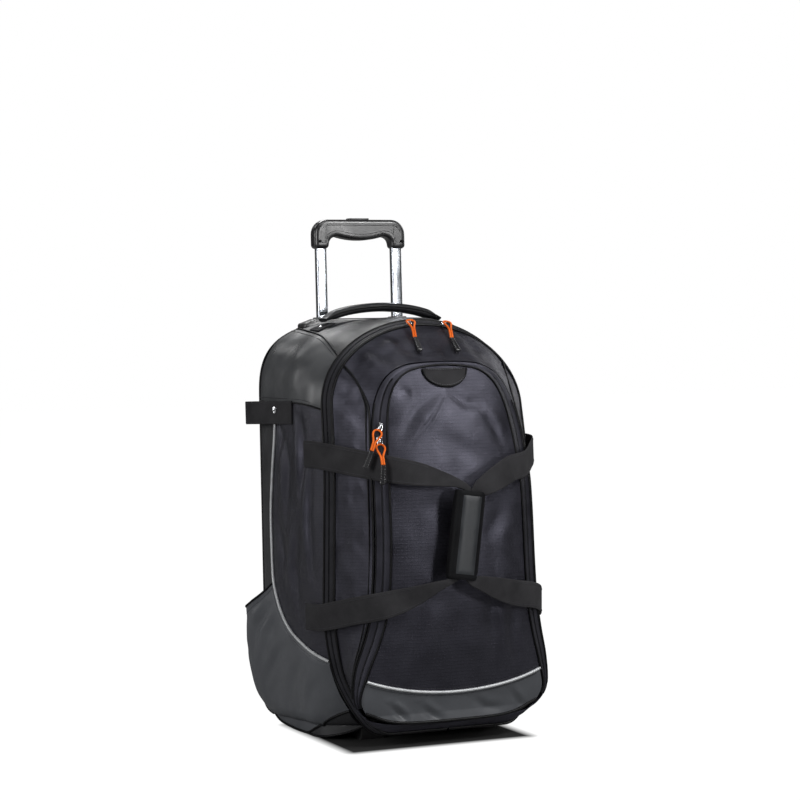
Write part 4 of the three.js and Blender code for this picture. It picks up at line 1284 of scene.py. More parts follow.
def back_roll(y: Array) -> Array:
    """How far the cloth turns in towards the back edge, in millimetres."""
    share = np.clip((y - BACK_ROLL_FROM) / (BACK.y - BACK_ROLL_FROM), 0.0, 1.0)
    return BACK_ROLL * (1.0 - np.sqrt(1.0 - 0.98 * share * share))


def side_half(y: Array, z: Array) -> Array:
    """Half width of the body's side at a depth and height.

    Args:
        y: Depths in millimetres.
        z: Heights in millimetres.

    Returns:
        Half widths in millimetres.
    """
    depths = [outline.depth_at(z) for outline in BODY]
    halves = [outline.half_at(np.minimum(z, outline.arch_z)) for outline in BODY]
    behind = (halves[1] - halves[0]) / (depths[0] - depths[1])
    before = (halves[2] - halves[1]) / (depths[1] - depths[2])
    ahead = depths[1] - y
    knee = np.clip(ahead + KNEE, 0.0, 2 * KNEE) ** 2 / (4 * KNEE) + np.maximum(ahead - KNEE, 0.0)
    along = np.clip((depths[0] - y) / (depths[0] - depths[2]), 0.0, 1.0)
    rise = np.clip((z - BACK.foot_z) / (BACK.arch_z - BACK.foot_z), 0.0, 1.0)
    swell = SIDE_BULGE * np.sin(np.pi * along) * np.sin(np.pi * rise)
    return halves[1] + behind * ahead + (before - behind) * knee + swell


def side_point(sign: float, y: Array, z: Array, out: Array = 0.0) -> Array:
    """Points of the body's side, lifted off it along its normal.

    Args:
        sign: -1 for the left side, 1 for the right one.
        y: Depths in millimetres.
        z: Heights in millimetres.
        out: Lift in millimetres.

    Returns:
        One point for each depth and height.
    """
    y, z, out = np.broadcast_arrays(np.asarray(y, float), np.asarray(z, float), np.asarray(out, float))
    half = side_half(y, z)
    along_y = (side_half(y + 1, z) - side_half(y - 1, z)) / 2
    along_z = (side_half(y, z + 1) - side_half(y, z - 1)) / 2
    normal = unit(np.stack([np.full_like(half, sign), -along_y, -along_z], axis=-1))
    return np.stack([sign * half, y, z], axis=-1) + normal * out[..., None]


@dataclass(frozen=True)
class Crease:
    """A fold pressed into cloth along a line, with a soft ridge beside it."""

    line: tuple[Pair, ...]
    width: float
    depth: float
    ridge: float = 0.6

    def height(self, first: Array, second: Array) -> Array:
        """Height of the cloth over its smooth form.

        Args:
            first: Place along the first axis of the line's points.
            second: Place along their second axis.

        Returns:
            Heights in millimetres.
        """
        points = np.asarray(self.line, float)
        total = run_length(points)
        nearest = np.full(first.shape, np.inf)
        signed, run = np.zeros(first.shape), np.zeros(first.shape)
        for start, end, done in zip(points, points[1:], total):
            step = end - start
            share = ((first - start[0]) * step[0] + (second - start[1]) * step[1]) / (step @ step)
            share = np.clip(share, 0.0, 1.0)
            off = first - start[0] - share * step[0], second - start[1] - share * step[1]
            away = np.hypot(*off)
            closer = away < nearest
            nearest = np.where(closer, away, nearest)
            signed = np.where(closer, np.sign(step[0] * off[1] - step[1] * off[0]) * away, signed)
            run = np.where(closer, (done + share * np.linalg.norm(step)) / total[-1], run)
        s = signed / self.width
        taper = np.sin(np.pi * (0.08 + 0.84 * run))
        return self.depth * taper * (self.ridge * np.exp(-(s - 1.8) ** 2) - np.exp(-s * s))


def creased(creases: Sequence[Crease], first: Array, second: Array) -> Array:
    """Sum of several creases at places."""
    return sum((crease.height(first, second) for crease in creases), np.zeros(first.shape))


def ribbon(name: str, rows: Sequence[Sequence[float]], count: int, sides: int = 20) -> Object:
    """Flat webbing along a smooth curve.

    Args:
        name: Name of the piece.
        rows: Point, facing direction, width and thickness of the webbing, eight numbers each.
        count: Sections along it.
        sides: Points round each section.

    Returns:
        A closed band with rounded edges.
    """
    fine = through(rows, count)
    path, width, thick = fine[:, :3], fine[:, 6], fine[:, 7]
    flow = unit(np.gradient(path, axis=0))
    face = unit(fine[:, 3:6] - flow * np.sum(fine[:, 3:6] * flow, axis=1, keepdims=True))
    across = np.cross(flow, face)
    wide, deep = oval(np.linspace(0.0, 2 * np.pi, sides + 1), 1.0, 1.0, WEB_SQUARE).T
    reach = wide[None] * width[:, None]
    rise = deep[None] * thick[:, None]
    grid = path[:, None] + across[:, None] * reach[..., None] + face[:, None] * rise[..., None]
    chart = np.stack([reach * MM, np.broadcast_to(run_length(path)[:, None] * MM, reach.shape)], axis=2)
    return smooth_shade(face_out(lay(name, grid, chart, merge=True)), 50.0)


# Sub-assemblies


@dataclass
class BagShell:
    """The body of the bag: sides, shoulders, top and back, with their piping and bindings."""

    piping: float = 2.4
    binding: float = 2.0
    strip_inset: float = 5.0
    lip_row: float = 4.25
    stick_bulge: float = 25.0
    lower_lift: float = 2.9
    wave_depth: float = 2.2
    wave_run: float = 15.0
    plate_edge: float = 116.3
    back_wall: float = 3.0
    wheel_top: float = 80.0
    between_wheels: float = 134.0
    sleeve_x: float = 70.0
    sleeve_rise: float = 2.2
    stitch_aside: float = 5.0
    stitch_pitch: float = 3.6
    shoulder_line: tuple[Point, Point] = ((-150.0, 37.0, 89.0), (525.0, 520.0, 510.0))
    corner_line: tuple[Pair, ...] = ((-4, -11), (-66, -11), (-94, 3), (-101, 32))
    pocket_section: Smooth = field(default_factory=lambda: Smooth(range(8), (
        (0.0, 0.0, 0.0, 0.0),
        (0.2, 0.25, 0.22, 0.0),
        (0.4, 0.5, 0.55, 0.0),
        (0.58, 0.75, 0.9, 0.1),
        (0.74, 0.93, 1.0, 0.36),
        (0.86, 1.0, 0.72, 0.58),
        (0.94, 1.0, 0.24, 0.46),
        (1.0, 1.0, 0.0, 0.12),
    )))
    side_folds: tuple[Crease, ...] = (
        Crease(((40, 470), (24, 420), (30, 340)), 12.0, 5.2, 0.8),
        Crease(((-20, 500), (-36, 440), (-30, 380)), 10.0, 5.4, 0.9),
        Crease(((-62, 420), (-56, 330), (-66, 250)), 9.0, 5.0, 0.9),
        Crease(((60, 330), (46, 270), (54, 220)), 14.0, 4.4, 0.7),
        Crease(((-10, 320), (-2, 250), (-16, 190)), 13.0, 4.6, 0.7),
        Crease(((66, 500), (52, 470), (60, 430)), 9.0, 4.4, 0.9),
    )
    stick_folds: tuple[Crease, ...] = (
        Crease(((95, 182), (120, 150), (128, 110)), 9.0, 4.0),
        Crease(((60, 176), (92, 140), (108, 96)), 10.0, 3.2),
        Crease(((10, 140), (60, 112), (100, 62)), 9.0, 2.4),
        Crease(((-40, 116), (0, 84), (30, 40)), 11.0, 2.0),
        Crease(((-80, 92), (-52, 60), (-36, 24)), 9.0, 1.8),
    )
    stitches: Grains = field(default_factory=lambda: bar_grain(2.7, 0.8, 0.4))

    def build(self) -> None:
        """Builds and dresses every piece of the body."""
        for name, sign in SIDES:
            self.side(name, sign)
            self.seam_trim(name, sign)
            self.lower_panel(name, sign)
            self.shoulder(name, sign)
        self.top()
        self.back()
        settle(self.stitches.build("shell_stitches"), THREAD)

    def seam(self, place: Array, aside: float = 0.0) -> tuple[Array, Array]:
        """Depth and height of the piped seam.

        Args:
            place: Places along the rows of the side.
            aside: How far to move aside towards the back, in millimetres.

        Returns:
            Depths and heights in millimetres.
        """
        here = SIDE_SEAMS(place)
        flow = unit(SIDE_SEAMS(place + 0.05)[..., :2] - SIDE_SEAMS(place - 0.05)[..., :2])
        return here[..., 0] - flow[..., 1] * aside, here[..., 1] + flow[..., 0] * aside

    def raised(self, y: Array, z: Array, place: Array) -> Array:
        """Heights lifted near the shoulder so that the panels meet its lower edge."""
        line = np.interp(-y, *self.shoulder_line)
        return z + (line + 0.6 - z) * np.clip(1.0 - place / 0.6, 0.0, 1.0) ** 2

    def side(self, name: str, sign: float) -> None:
        """The side panel in front of the piped seam and the strip behind it.

        Args:
            name: Name of the side.
            sign: -1 for the left side, 1 for the right one.
        """
        place = np.linspace(0.0, LAST_ROW, 131)[:, None]
        rows = SIDE_SEAMS(place)
        seam_y, seam_z = self.seam(place)
        share = np.linspace(0.0, 1.0, 49)[None]
        y = lerp(seam_y, FRONT.depth_at(rows[..., 2]), share)
        z = self.raised(y, lerp(seam_z, rows[..., 2], share), place)
        flat = side_point(sign, y, z)
        lumps = (crumple(flat, 90.0, 3.0 + sign) * 1.8 + creased(self.side_folds, y, z)) * hill(49, 0.6)
        sew(f"side_panel_{name}", side_point(sign, y, z, lumps), RIPSTOP, flat_uv(flat, 1, 2))

        share = np.linspace(0.0, 1.0, 25)[None]
        y = lerp(seam_y, rows[..., 3] + 2.0, share)
        z = self.raised(y, lerp(seam_z, rows[..., 4], share), place)
        sink = -self.strip_inset * smoothstep(place, 3.7, 5.3) * np.minimum(3 * share, 1.0) - back_roll(y)
        grid = side_point(sign, y, z, sink)
        sew(f"side_strip_{name}", grid, NYLON, flat_uv(grid, 1, 2))

    def seam_trim(self, name: str, sign: float) -> None:
        """The silver piping along the seam, with a row of stitches on each side.

        Args:
            name: Name of the side.
            sign: -1 for the left side, 1 for the right one.
        """
        along = np.linspace(0.0, LAST_ROW, 150)
        path = side_point(sign, *self.seam(along), self.piping * 0.75)
        pipe = sweep(f"side_piping_{name}_trim", path, self.piping, 12)
        settle(pipe, REFLECT, replaces=(f"side_piping_{name}",))
        for aside, last in ((-self.stitch_aside, 62), (self.stitch_aside, -6)):
            seam = self.seam(along, aside)
            path = side_point(sign, *seam, 0.2)
            facing = path - side_point(sign, *seam, -1.0)
            self.stitches.line(path[3:last], facing[3:last], self.stitch_pitch)

    def lower_grid(self, sign: float, rows: int, cols: int) -> tuple[Array, Array, Array]:
        """Grid of the grey panel low on the side, which bulges on the left as an open pocket.

        Args:
            sign: -1 for the left side, 1 for the right one.
            rows: Points along the panel.
            cols: Points from its seam to its hem.

        Returns:
            The grid, and the depth and height of its points on the flat side.
        """
        place = np.linspace(self.lip_row, LAST_ROW, rows)[:, None]
        section = self.pocket_section(np.linspace(0.0, 7.0, cols))[None]
        bulge = self.stick_bulge * (1.0 - smoothstep(place, 4.9, 7.7)) * (sign < 0)
        share = lerp(section[..., 0], section[..., 1], bulge / self.stick_bulge)
        seam_y, seam_z = self.seam(place)
        hem = SIDE_SEAMS(place)[..., 5:7]
        y, z = lerp(seam_y, hem[..., 0], share), lerp(seam_z, hem[..., 1], share)
        base = side_point(sign, y, z, self.lower_lift * smoothstep(share, 0.0, 0.08))
        puff = np.stack([sign * bulge * section[..., 2], bulge * section[..., 3], np.zeros_like(y)], axis=-1)
        return base + puff, y, z

    def lower_panel(self, name: str, sign: float) -> None:
        """The coated panel low on the side, open at its upper edge, with its bindings.

        Args:
            name: Name of the side.
            sign: -1 for the left side, 1 for the right one.
        """
        rows, cols = 97, 61
        grid, y, z = self.lower_grid(sign, rows, cols)
        edge = smoothstep(np.linspace(0.0, 1.0, rows)[:, None], 0.0, 0.05) * hill(cols, 0.5)
        normals = grid_normals(grid)
        height = creased(self.stick_folds, y, z) + crumple(grid, 70.0, 9.0 + sign) * 2.2
        grid = grid + normals * (height * edge)[..., None]
        sew(f"lower_panel_{name}", grid, COATED)
        bind(f"pocket_lip_{name}", grid[0], self.binding)
        bind(f"lower_hem_{name}", grid[:, -1], self.binding * 1.1)
        self.stitches.line(grid[3], normals[3], self.stitch_pitch)
        self.stitches.line(grid[4:-3, 2], normals[4:-3, 2], self.stitch_pitch)
        self.corner(name, sign)

    def corner(self, name: str, sign: float) -> None:
        """The dark cloth that comes round from the front under the grey panel's slanted corner.

        Args:
            name: Name of the side.
            sign: -1 for the left side, 1 for the right one.
        """
        seam = SIDE_SEAMS(np.linspace(8.0, LAST_ROW, 41)[:, None])[..., 5:7]
        edge = through([(y, 0.0, z) for y, z in self.corner_line], 41)[:, None]
        share = np.linspace(0.0, 1.0, 17)[None]
        y = lerp(seam[..., 0], edge[..., 0], share)
        z = lerp(seam[..., 1], edge[..., 2], share)
        grid = side_point(sign, y, z, self.lower_lift)
        sew(f"skirt_corner_{name}", grid, NYLON, stands_in=False)
        bind(f"skirt_corner_{name}_hem", grid[:, -1], self.binding)

    def shoulder(self, name: str, sign: float) -> None:
        """The coated panel over the shoulder, from the back to the main zip.

        Args:
            name: Name of the side.
            sign: -1 for the left side, 1 for the right one.
        """
        section = outline_between(np.linspace(0.0, 2.0, 81)[:, None])
        angle = lerp(0.0, section.seam, np.linspace(0.0, 1.0, 57)[None])
        grid = flipped(section.arch_point(angle), sign)
        normals = grid_normals(grid)
        y, z = grid[..., 1], grid[..., 2]
        waves = self.wave_depth * np.sin(y / self.wave_run + 0.6 * np.sin(z / 40.0))
        waves = waves * smoothstep(-y, -120, 60)
        height = (waves + crumple(grid, 80.0, 20.0 + sign) * 2.0) * hill(57, 0.6) - back_roll(y)
        # The shoulder panel gets the darker copy of the coated cloth, which is painted shade.
        sew(f"shoulder_panel_{name}", grid + normals * height[..., None], COATED_SHADE_PAINTED)
        for edge, column in (("foot", 0), ("top", -1)):
            path = grid[:, column] + normals[:, column] * (0.6 - back_roll(y[:, column]))[:, None]
            bind(f"shoulder_{edge}_seam_{name}", path, 1.7, 8)
        for column in (3, -4):
            line, out = grid[2:-2, column], normals[2:-2, column]
            self.stitches.line(line + out * 0.4, out, self.stitch_pitch)

    def top(self) -> None:
        """The panel between the shoulders, from the trolley's plate to the main zip."""
        places = np.linspace(0.0, 1.0, 200)
        start = float(np.interp(-self.plate_edge, -outline_between(places).top_y, places))
        section = outline_between(np.linspace(start, 2.0, 61)[:, None])
        angle = lerp(section.seam, 180.0 - section.seam, np.linspace(0.0, 1.0, 81)[None])
        grid = section.arch_point(angle)
        height = crumple(grid, 70.0, 31.0) * 2.0 * (hill(81, 0.5) * hill(61, 0.5)[:, None])
        sew("top_panel", grid + grid_normals(grid) * height[..., None], NYLON, flat_uv(grid, 0, 1))

    def back(self) -> None:
        """The flat back panel, narrower between the wheels, and its edge binding."""
        low = np.linspace(self.wheel_top, BACK.arch_z, 60)
        arch = BACK.arch_point(np.linspace(1.0, 89.3, 44))
        z = np.concatenate([low, arch[:, 2]])[:, None]
        half = np.concatenate([BACK.half_at(low), arch[:, 0]])[:, None] - 0.8 * BACK_ROLL
        upper = self.back_sheet("back_panel_cloth", z, half)
        z = np.linspace(BACK.foot_z, self.wheel_top, 16)[:, None]
        lower = self.back_sheet("back_panel_foot", z, np.full_like(z, self.between_wheels))
        sheet = thicken(join([upper, lower], "back_panel_cloth"), self.back_wall, 1.0)
        settle(sheet, NYLON, replaces=("back_panel",))
        right = BACK.point(np.linspace(0.13, 1.0, 200))
        loop = np.concatenate([right, flipped(right[::-1])[1:]])
        loop = loop[loop[:, 2] > self.wheel_top - 2.0]
        rise = np.maximum(loop[:, 2] - BACK.arch_z, 0.0) * 1.2
        inward = -unit(np.stack([loop[:, 0], np.zeros(len(loop)), rise], axis=1))
        bind("back_binding", loop + inward * (0.8 * BACK_ROLL) + (0.0, 1.6, 0.0), 2.6)

    def back_sheet(self, name: str, z: Array, half: Array) -> Object:
        """A sheet of the back with two soft channels over the trolley's sleeves.

        Args:
            name: Name of the sheet.
            z: Heights of its rows.
            half: Half width of each row.

        Returns:
            The sheet, without thickness.
        """
        x, z = np.broadcast_arrays(np.linspace(-1.0, 1.0, 97)[None] * half, z)
        sleeve = self.sleeve_rise * np.exp(-((np.abs(x) - self.sleeve_x) / 14.0) ** 4)
        channel = sleeve * smoothstep(z, 10.0, 40.0) * smoothstep(-z, -650, -610)
        grid = np.stack([x, BACK.y + 0.4 + channel, z], axis=-1)
        return lay(name, grid, flat_uv(grid, 0, 2))


@dataclass
class FrontFlap:
    """The zipped front flap, its gusset, and the pocket with its own zip."""

    # Place of the pocket's edge by share of its half outline, and width of the zip's tape there
    edge: Smooth = field(default_factory=lambda: Smooth(
        (0.0, 0.12, 0.17, 0.21, 0.26, 0.31, 0.35, 0.45, 0.55, 0.65, 0.75, 0.84, 0.92, 1.0, 1.08), (
            (0, -168, 11, 1), (96, -169, 15, 1), (148, -172, 29, 3), (163, -178, 56, 9),
            (151, -187, 100, 20), (134, -198, 150, 23), (122, -206, 204, 24), (117, -209, 300, 24),
            (116, -206, 380, 24), (111, -192, 460, 24), (103, -181, 512, 22), (86, -175, 550, 17),
            (54, -173, 571, 9), (0, -173, 577, 5), (-54, -173, 571, 9),
        )))
    face_swell: float = 17.0
    crown_z: float = 577.0
    smile_z: float = 60.0
    smile_rise: float = 26.0
    foot_z: float = 14.0
    foot_rise: float = 22.0
    zip_sink: Point = (0.0, -34.0, -12.0)
    face_reach: float = 0.985
    piping: float = 2.4
    patch_half: float = 39.0
    patch_height: float = 29.0
    patch_z: float = 572.0
    pocket_folds: tuple[Crease, ...] = (
        Crease(((-22, 532), (-58, 508), (-92, 462)), 9.0, 3.0, 0.35),
        Crease(((-8, 530), (-40, 490), (-78, 452)), 2.6, 1.3, 0.5),
        Crease(((4, 530), (30, 514), (66, 516)), 10.0, 3.6, 0.3),
        Crease(((-84, 536), (-62, 532)), 9.0, 3.0, 0.3),
        Crease(((56, 500), (74, 476), (86, 446)), 9.0, 2.8, 0.5),
        Crease(((-30, 470), (10, 440), (60, 424)), 16.0, 2.4, 0.7),
        Crease(((-90, 380), (-40, 352), (20, 344)), 18.0, 2.2, 0.6),
        Crease(((80, 360), (52, 310), (60, 260)), 15.0, 2.6, 0.6),
        Crease(((-96, 236), (-64, 210), (-20, 204)), 16.0, 1.0, 0.7),
        Crease(((58, 236), (50, 180), (64, 120)), 12.0, 3.2, 0.6),
        Crease(((96, 210), (92, 150), (112, 96)), 12.0, 2.6, 0.6),
        Crease(((-70, 210), (-84, 150), (-98, 100)), 14.0, 2.4, 0.6),
        Crease(((-10, 190), (-16, 140), (-8, 100)), 18.0, 2.0, 0.5),
    )
    band_folds: tuple[Crease, ...] = (
        Crease(((-112, 44), (-99, 33), (-84, 20)), 5.0, 3.2, 0.9),
        Crease(((-60, 40), (-40, 24), (-21, 16)), 6.0, 2.6, 0.8),
        Crease(((30, 46), (54, 30), (84, 24)), 7.0, 2.2, 0.7),
        Crease(((100, 52), (116, 34), (128, 22)), 6.0, 2.6, 0.8),
    )
    seam_line: tuple[Pair, ...] = (
        (0.775, 0.0), (0.772, 0.3), (0.762, 0.58), (0.745, 0.8), (0.72, 0.93), (0.69, 0.97), (0.6, 0.975),
        (0.45, 0.975), (0.33, 0.975), (0.26, 0.97), (0.215, 0.96),
    )
    # Share of the way across each zip's tape and height over it
    zip_profile: tuple[Pair, ...] = (
        (0.0, 0.0), (0.1, 1.2), (0.3, 1.8), (0.42, 1.5), (0.47, -0.8),
        (0.53, -0.8), (0.58, 1.5), (0.7, 1.8), (0.9, 1.2), (1.0, 0.0),
    )
    pocket_profile: tuple[Pair, ...] = (
        (0.0, 0.5), (0.1, 0.8), (0.38, 0.6), (0.46, 0.1), (0.54, 0.1), (0.62, 0.6), (0.9, 0.8), (1.0, 0.5),
    )
    patch_border: int = 18
    border_pitch: float = 4.2
    edge_top: float = 520.0
    coil_top: float = 558.0
    stitch_pitch: float = 3.6
    tooth_pitch: float = 1.7
    stitches: Grains = field(default_factory=lambda: bar_grain(2.7, 0.8, 0.4))
    teeth: Grains = field(default_factory=lambda: bar_grain(0.95, 3.2, 0.7))
    table: Array = field(init=False)

    def __post_init__(self) -> None:
        """Reads the pocket's edge from its foot to its crown, as a table by height."""
        self.table = self.edge(np.linspace(0.17, 1.0, 600))

    def build(self) -> None:
        """Builds and dresses the flap, the zips and the pocket."""
        self.main_zip()
        self.skirt()
        self.gusset()
        self.flap()
        self.pocket_zip()
        self.face()
        self.patch()
        settle(self.teeth.build("zip_teeth"), COIL)
        settle(self.stitches.build("pocket_stitches"), THREAD)

    def zip_point(self, v: Array, extra: float = 0.0) -> Array:
        """Points of the outer edge of the pocket's zip.

        Args:
            v: Places along the half outline.
            extra: Distance further out in millimetres.

        Returns:
            One point for each place.
        """
        after, before = self.edge(np.minimum(v + 0.02, 1.08)), self.edge(np.maximum(v - 0.02, 0.0))
        flow = unit((after - before)[..., :3] * (1.0, 0.0, 1.0))
        out = np.stack([flow[..., 2] * 0.88, np.full(flow.shape[:-1], 0.47), -flow[..., 0] * 0.88], axis=-1)
        here = self.edge(v)
        return here[..., :3] + out * (here[..., 3:4] + extra)

    def face_point(self, u: Array, z: Array, out: Array = 0.0) -> Array:
        """Points of the pocket's face at shares of its half width and heights.

        Args:
            u: Share of the half width, -1 to 1.
            z: Heights in millimetres.
            out: Distance in front of the face.

        Returns:
            One point for each share and height.
        """
        u, z = np.broadcast_arrays(np.asarray(u, float), np.asarray(z, float))
        half = np.interp(z, self.table[:, 2], self.table[:, 0])
        rim = np.interp(z, self.table[:, 2], self.table[:, 1])
        fade = smoothstep(self.crown_z - z, 0.0, 90.0) * lerp(0.55, 1.0, smoothstep(z, 30.0, 140.0))
        y = rim - self.face_swell * fade * (1.0 - np.abs(u) ** 2.4)
        return np.stack([u * half, y - out, z], axis=-1)

    def smile(self, u: Array) -> Array:
        """Height of the piped seam over the foot band."""
        return self.smile_z + self.smile_rise * u * u

    def foot(self, u: Array) -> Array:
        """Height of the pocket's lower edge, which curves up at its ends."""
        return self.foot_z + self.foot_rise * np.abs(u) ** 5

    def sunk(self, points: Array) -> Array:
        """Points of the main zip, moved forward and down along the foot so that it runs under the pocket."""
        share = 1.0 - smoothstep(points[..., 2], 8.0, 95.0)
        return points + share[..., None] * self.zip_sink

    def skirt(self) -> None:
        """The strip of cloth at the foot that carries the main zip under the pocket."""
        v = np.linspace(0.0, 0.255, 60)
        inner = FRONT.point(v) + (0.0, 2.0, 0.0)
        half = lerp(inner[None], self.sunk(FRONT.point(v))[None], np.linspace(0.0, 1.0, 9)[:, None, None])
        grid = np.concatenate([flipped(half[:, ::-1]), half[:, 1:]], axis=1)
        sew("front_skirt", grid, NYLON, stands_in=False)

    def main_zip(self) -> None:
        """The main zip: tape with a slit between two covered edges, and piping on both sides."""
        across, rise = np.array(self.zip_profile).T
        grid = np.array([
            ring_of(lambda v, s=share: self.sunk(lerp(FRONT.point(v), ZIP_EDGE.point(v), s)), 200)
            for share in across
        ])
        normals = grid_normals(grid, ring=True)
        obj = lay("main_zip_tape", grid + normals * rise[:, None, None], merge=True)
        settle(thicken(obj, 2.0), TAPE, replaces=("main_zip",))
        for edge_name, row in (("outer", 0), ("inner", -1)):
            bind(f"main_zip_{edge_name}_piping", grid[row][:-1] + normals[row][:-1] * 0.6, 2.5)
        self.teeth.line((grid[4] + grid[5]) / 2, normals[4], self.tooth_pitch)

    def gusset_point(self, v: Array, share: Array) -> Array:
        """Points of the gusset between the main zip and the pocket's zip."""
        return lerp(self.sunk(ZIP_EDGE.point(v)), self.zip_point(v, 2.4), np.asarray(share)[..., None])

    def gusset(self) -> None:
        """The gusset that stands the pocket off the bag, with its piped seam."""
        shares = np.linspace(0.0, 1.0, 33)
        grid = np.array([
            ring_of(lambda v, s=share: self.gusset_point(v, np.full(v.shape, s)), 220) for share in shares
        ])
        normals = grid_normals(grid, ring=True)
        x, z = grid[..., 0], grid[..., 2]
        pleats = np.sin(x / 9.0 + z / 13.0) * smoothstep(np.abs(x), 40.0, 70.0)
        height = crumple(grid, 60.0, 44.0) * 3.0 + 2.0 * pleats * smoothstep(z, 500.0, 570.0)
        lumps = normals * (height * hill(33, 0.7)[:, None])[..., None]
        sew("pocket_gusset", grid + lumps, RIPSTOP, flat_uv(grid, 0, 2), merge=True)
        v, share, _ = through([(v, share, 0.0) for v, share in self.seam_line], 160).T
        line = self.gusset_point(v, share)
        outward = unit(line - (0.0, 40.0, 320.0))
        twin = self.gusset_point(v, share * 0.9) + outward * 0.8
        for name, sign in SIDES:
            pipes = [sweep("pipe", flipped(path, sign), radius, 8)
                     for path, radius in ((line + outward, 1.8), (twin, 1.2))]
            settle(join(pipes, f"gusset_piping_{name}"), BINDING)

    def flap(self) -> None:
        """The flat flap behind the pocket."""
        z = np.linspace(ZIP_EDGE.foot_z + 8, ZIP_EDGE.top_z - 12, 30)[:, None]
        share = np.linspace(-1.0, 1.0, 25)[None]
        x = share * (ZIP_EDGE.half_at(z) - 10.0)
        y = ZIP_EDGE.depth_at(z) + 1.0 - 7.0 * (1.0 - share * share)
        grid = np.stack(np.broadcast_arrays(x, y, z), axis=-1)
        sew("front_flap", grid, NYLON, flat_uv(grid, 0, 2))

    def pocket_zip(self) -> None:
        """The pocket's zip: a tape with a coil along its middle, narrowing towards the crown."""
        across, rise = np.array(self.pocket_profile).T
        v = np.linspace(0.195, 1.0, 190)
        half = lerp(self.zip_point(v)[None], self.edge(v)[None, :, :3], across[:, None, None])
        grid = np.concatenate([flipped(half), half[:, ::-1][:, 1:]], axis=1)
        normals = grid_normals(grid)
        obj = lay("pocket_zip_tape", grid + normals * rise[:, None, None])
        settle(thicken(obj, 1.6), POCKET_TAPE, replaces=("pocket_zip",))
        middle = (grid[3] + grid[4]) / 2
        coil = middle + normals[3] * 0.4
        for part in (slice(0, len(v)), slice(len(v) - 1, None)):
            keep = middle[part, 2] < self.coil_top
            self.teeth.line(coil[part][keep], normals[3][part][keep], self.tooth_pitch)
        bind("pocket_edge_piping", grid[-1] + normals[-1] * 0.8, 1.7)
        outer = grid[0] + normals[0] * 0.8
        low = outer[outer[:, 2] < self.edge_top]
        edges = [sweep("edge", low[low[:, 0] * sign > 0.0], 1.1, 8) for _, sign in SIDES]
        settle(join(edges, "pocket_zip_edge"), BINDING)

    def face(self) -> None:
        """The pocket's face, its coated foot band and the silver piping between them."""
        u = np.linspace(-self.face_reach, self.face_reach, 131)[None]
        rise = 1.0 - (1.0 - np.linspace(0.0, 1.0, 151)[:, None]) ** 1.5
        z = lerp(self.smile(u), self.crown_z - 1.2, rise)
        self.cloth("front_pocket", u, z, self.pocket_folds, RIPSTOP, 52.0)
        z = lerp(self.foot(u), self.smile(u), np.linspace(0.0, 1.0, 33)[:, None])
        self.cloth("pocket_band", u, z, self.band_folds, COATED, 58.0)
        line = np.linspace(-self.face_reach, self.face_reach, 120)
        path = self.face_point(line, self.smile(line), self.piping * 0.7)
        settle(sweep("pocket_piping_trim", path, self.piping, 12), REFLECT, replaces=("pocket_piping",))
        bind("pocket_foot_binding", self.face_point(line, self.foot(line), 0.4), 2.4)
        for lift in (-5.5, 5.5):
            path = self.face_point(line, self.smile(line) + lift, 0.5)[3:-3]
            self.stitches.line(path, np.tile(FORWARD, (len(path), 1)), self.stitch_pitch)

    def cloth(self, node: str, u: Array, z: Array, folds: Sequence[Crease], finish: Finish,
              seed: float) -> None:
        """One wrinkled sheet of the pocket's face.

        Args:
            node: Node that it stands for.
            u: Shares of the face's half width.
            z: Heights in millimetres.
            folds: Creases pressed into it.
            finish: Finish that it gets.
            seed: Shift that picks the pattern of its lumps.
        """
        flat = self.face_point(u, z)
        edge = (1.0 - np.abs(u / self.face_reach) ** 6) * smoothstep(self.crown_z - z, 0.0, 12.0)
        calm = lerp(0.15, 1.0, smoothstep(z, 190.0, 290.0))
        lumps = (crumple(flat, 84.0, seed, 2) * 2.8 + crumple(flat, 26.0, seed + 7.0, 2) * 0.25) * calm
        out = (creased(folds, flat[..., 0], z) + lumps) * edge
        sew(node, self.face_point(u, z, out), finish, flat_uv(flat, 0, 2))

    def patch(self) -> None:
        """The half-moon grab patch at the pocket's crown, with a stitched border."""
        share = np.sin(np.linspace(0.0, np.pi / 2, 25))[:, None]
        across = np.linspace(-1.0, 1.0, 41)[None]
        z = self.patch_z - share * self.patch_height * np.sqrt(1.0 - across ** 2 * 0.999)
        half = np.interp(z, self.table[:, 2], self.table[:, 0])
        u = np.clip(across * self.patch_half / half, -0.93, 0.93)
        grid = self.face_point(u, z, 3.0 + 1.2 * (1.0 - across ** 4))
        obj = lay("grab_patch_web", grid, flat_uv(grid, 0, 2))
        settle(thicken(obj, 2.4), WEBBING, replaces=("grab_patch",))
        bind("grab_patch_binding", grid[-1], 1.5, 8)
        border = bar_grain(3.0, 1.3, 0.7)
        for row in (grid[self.patch_border, 2:-2], grid[1, 4:-4]):
            out = np.tile(FORWARD, (len(row), 1))
            border.line(row + out * 0.5, out, self.border_pitch)
        settle(border.build("grab_patch_stitches"), BOLD_THREAD)


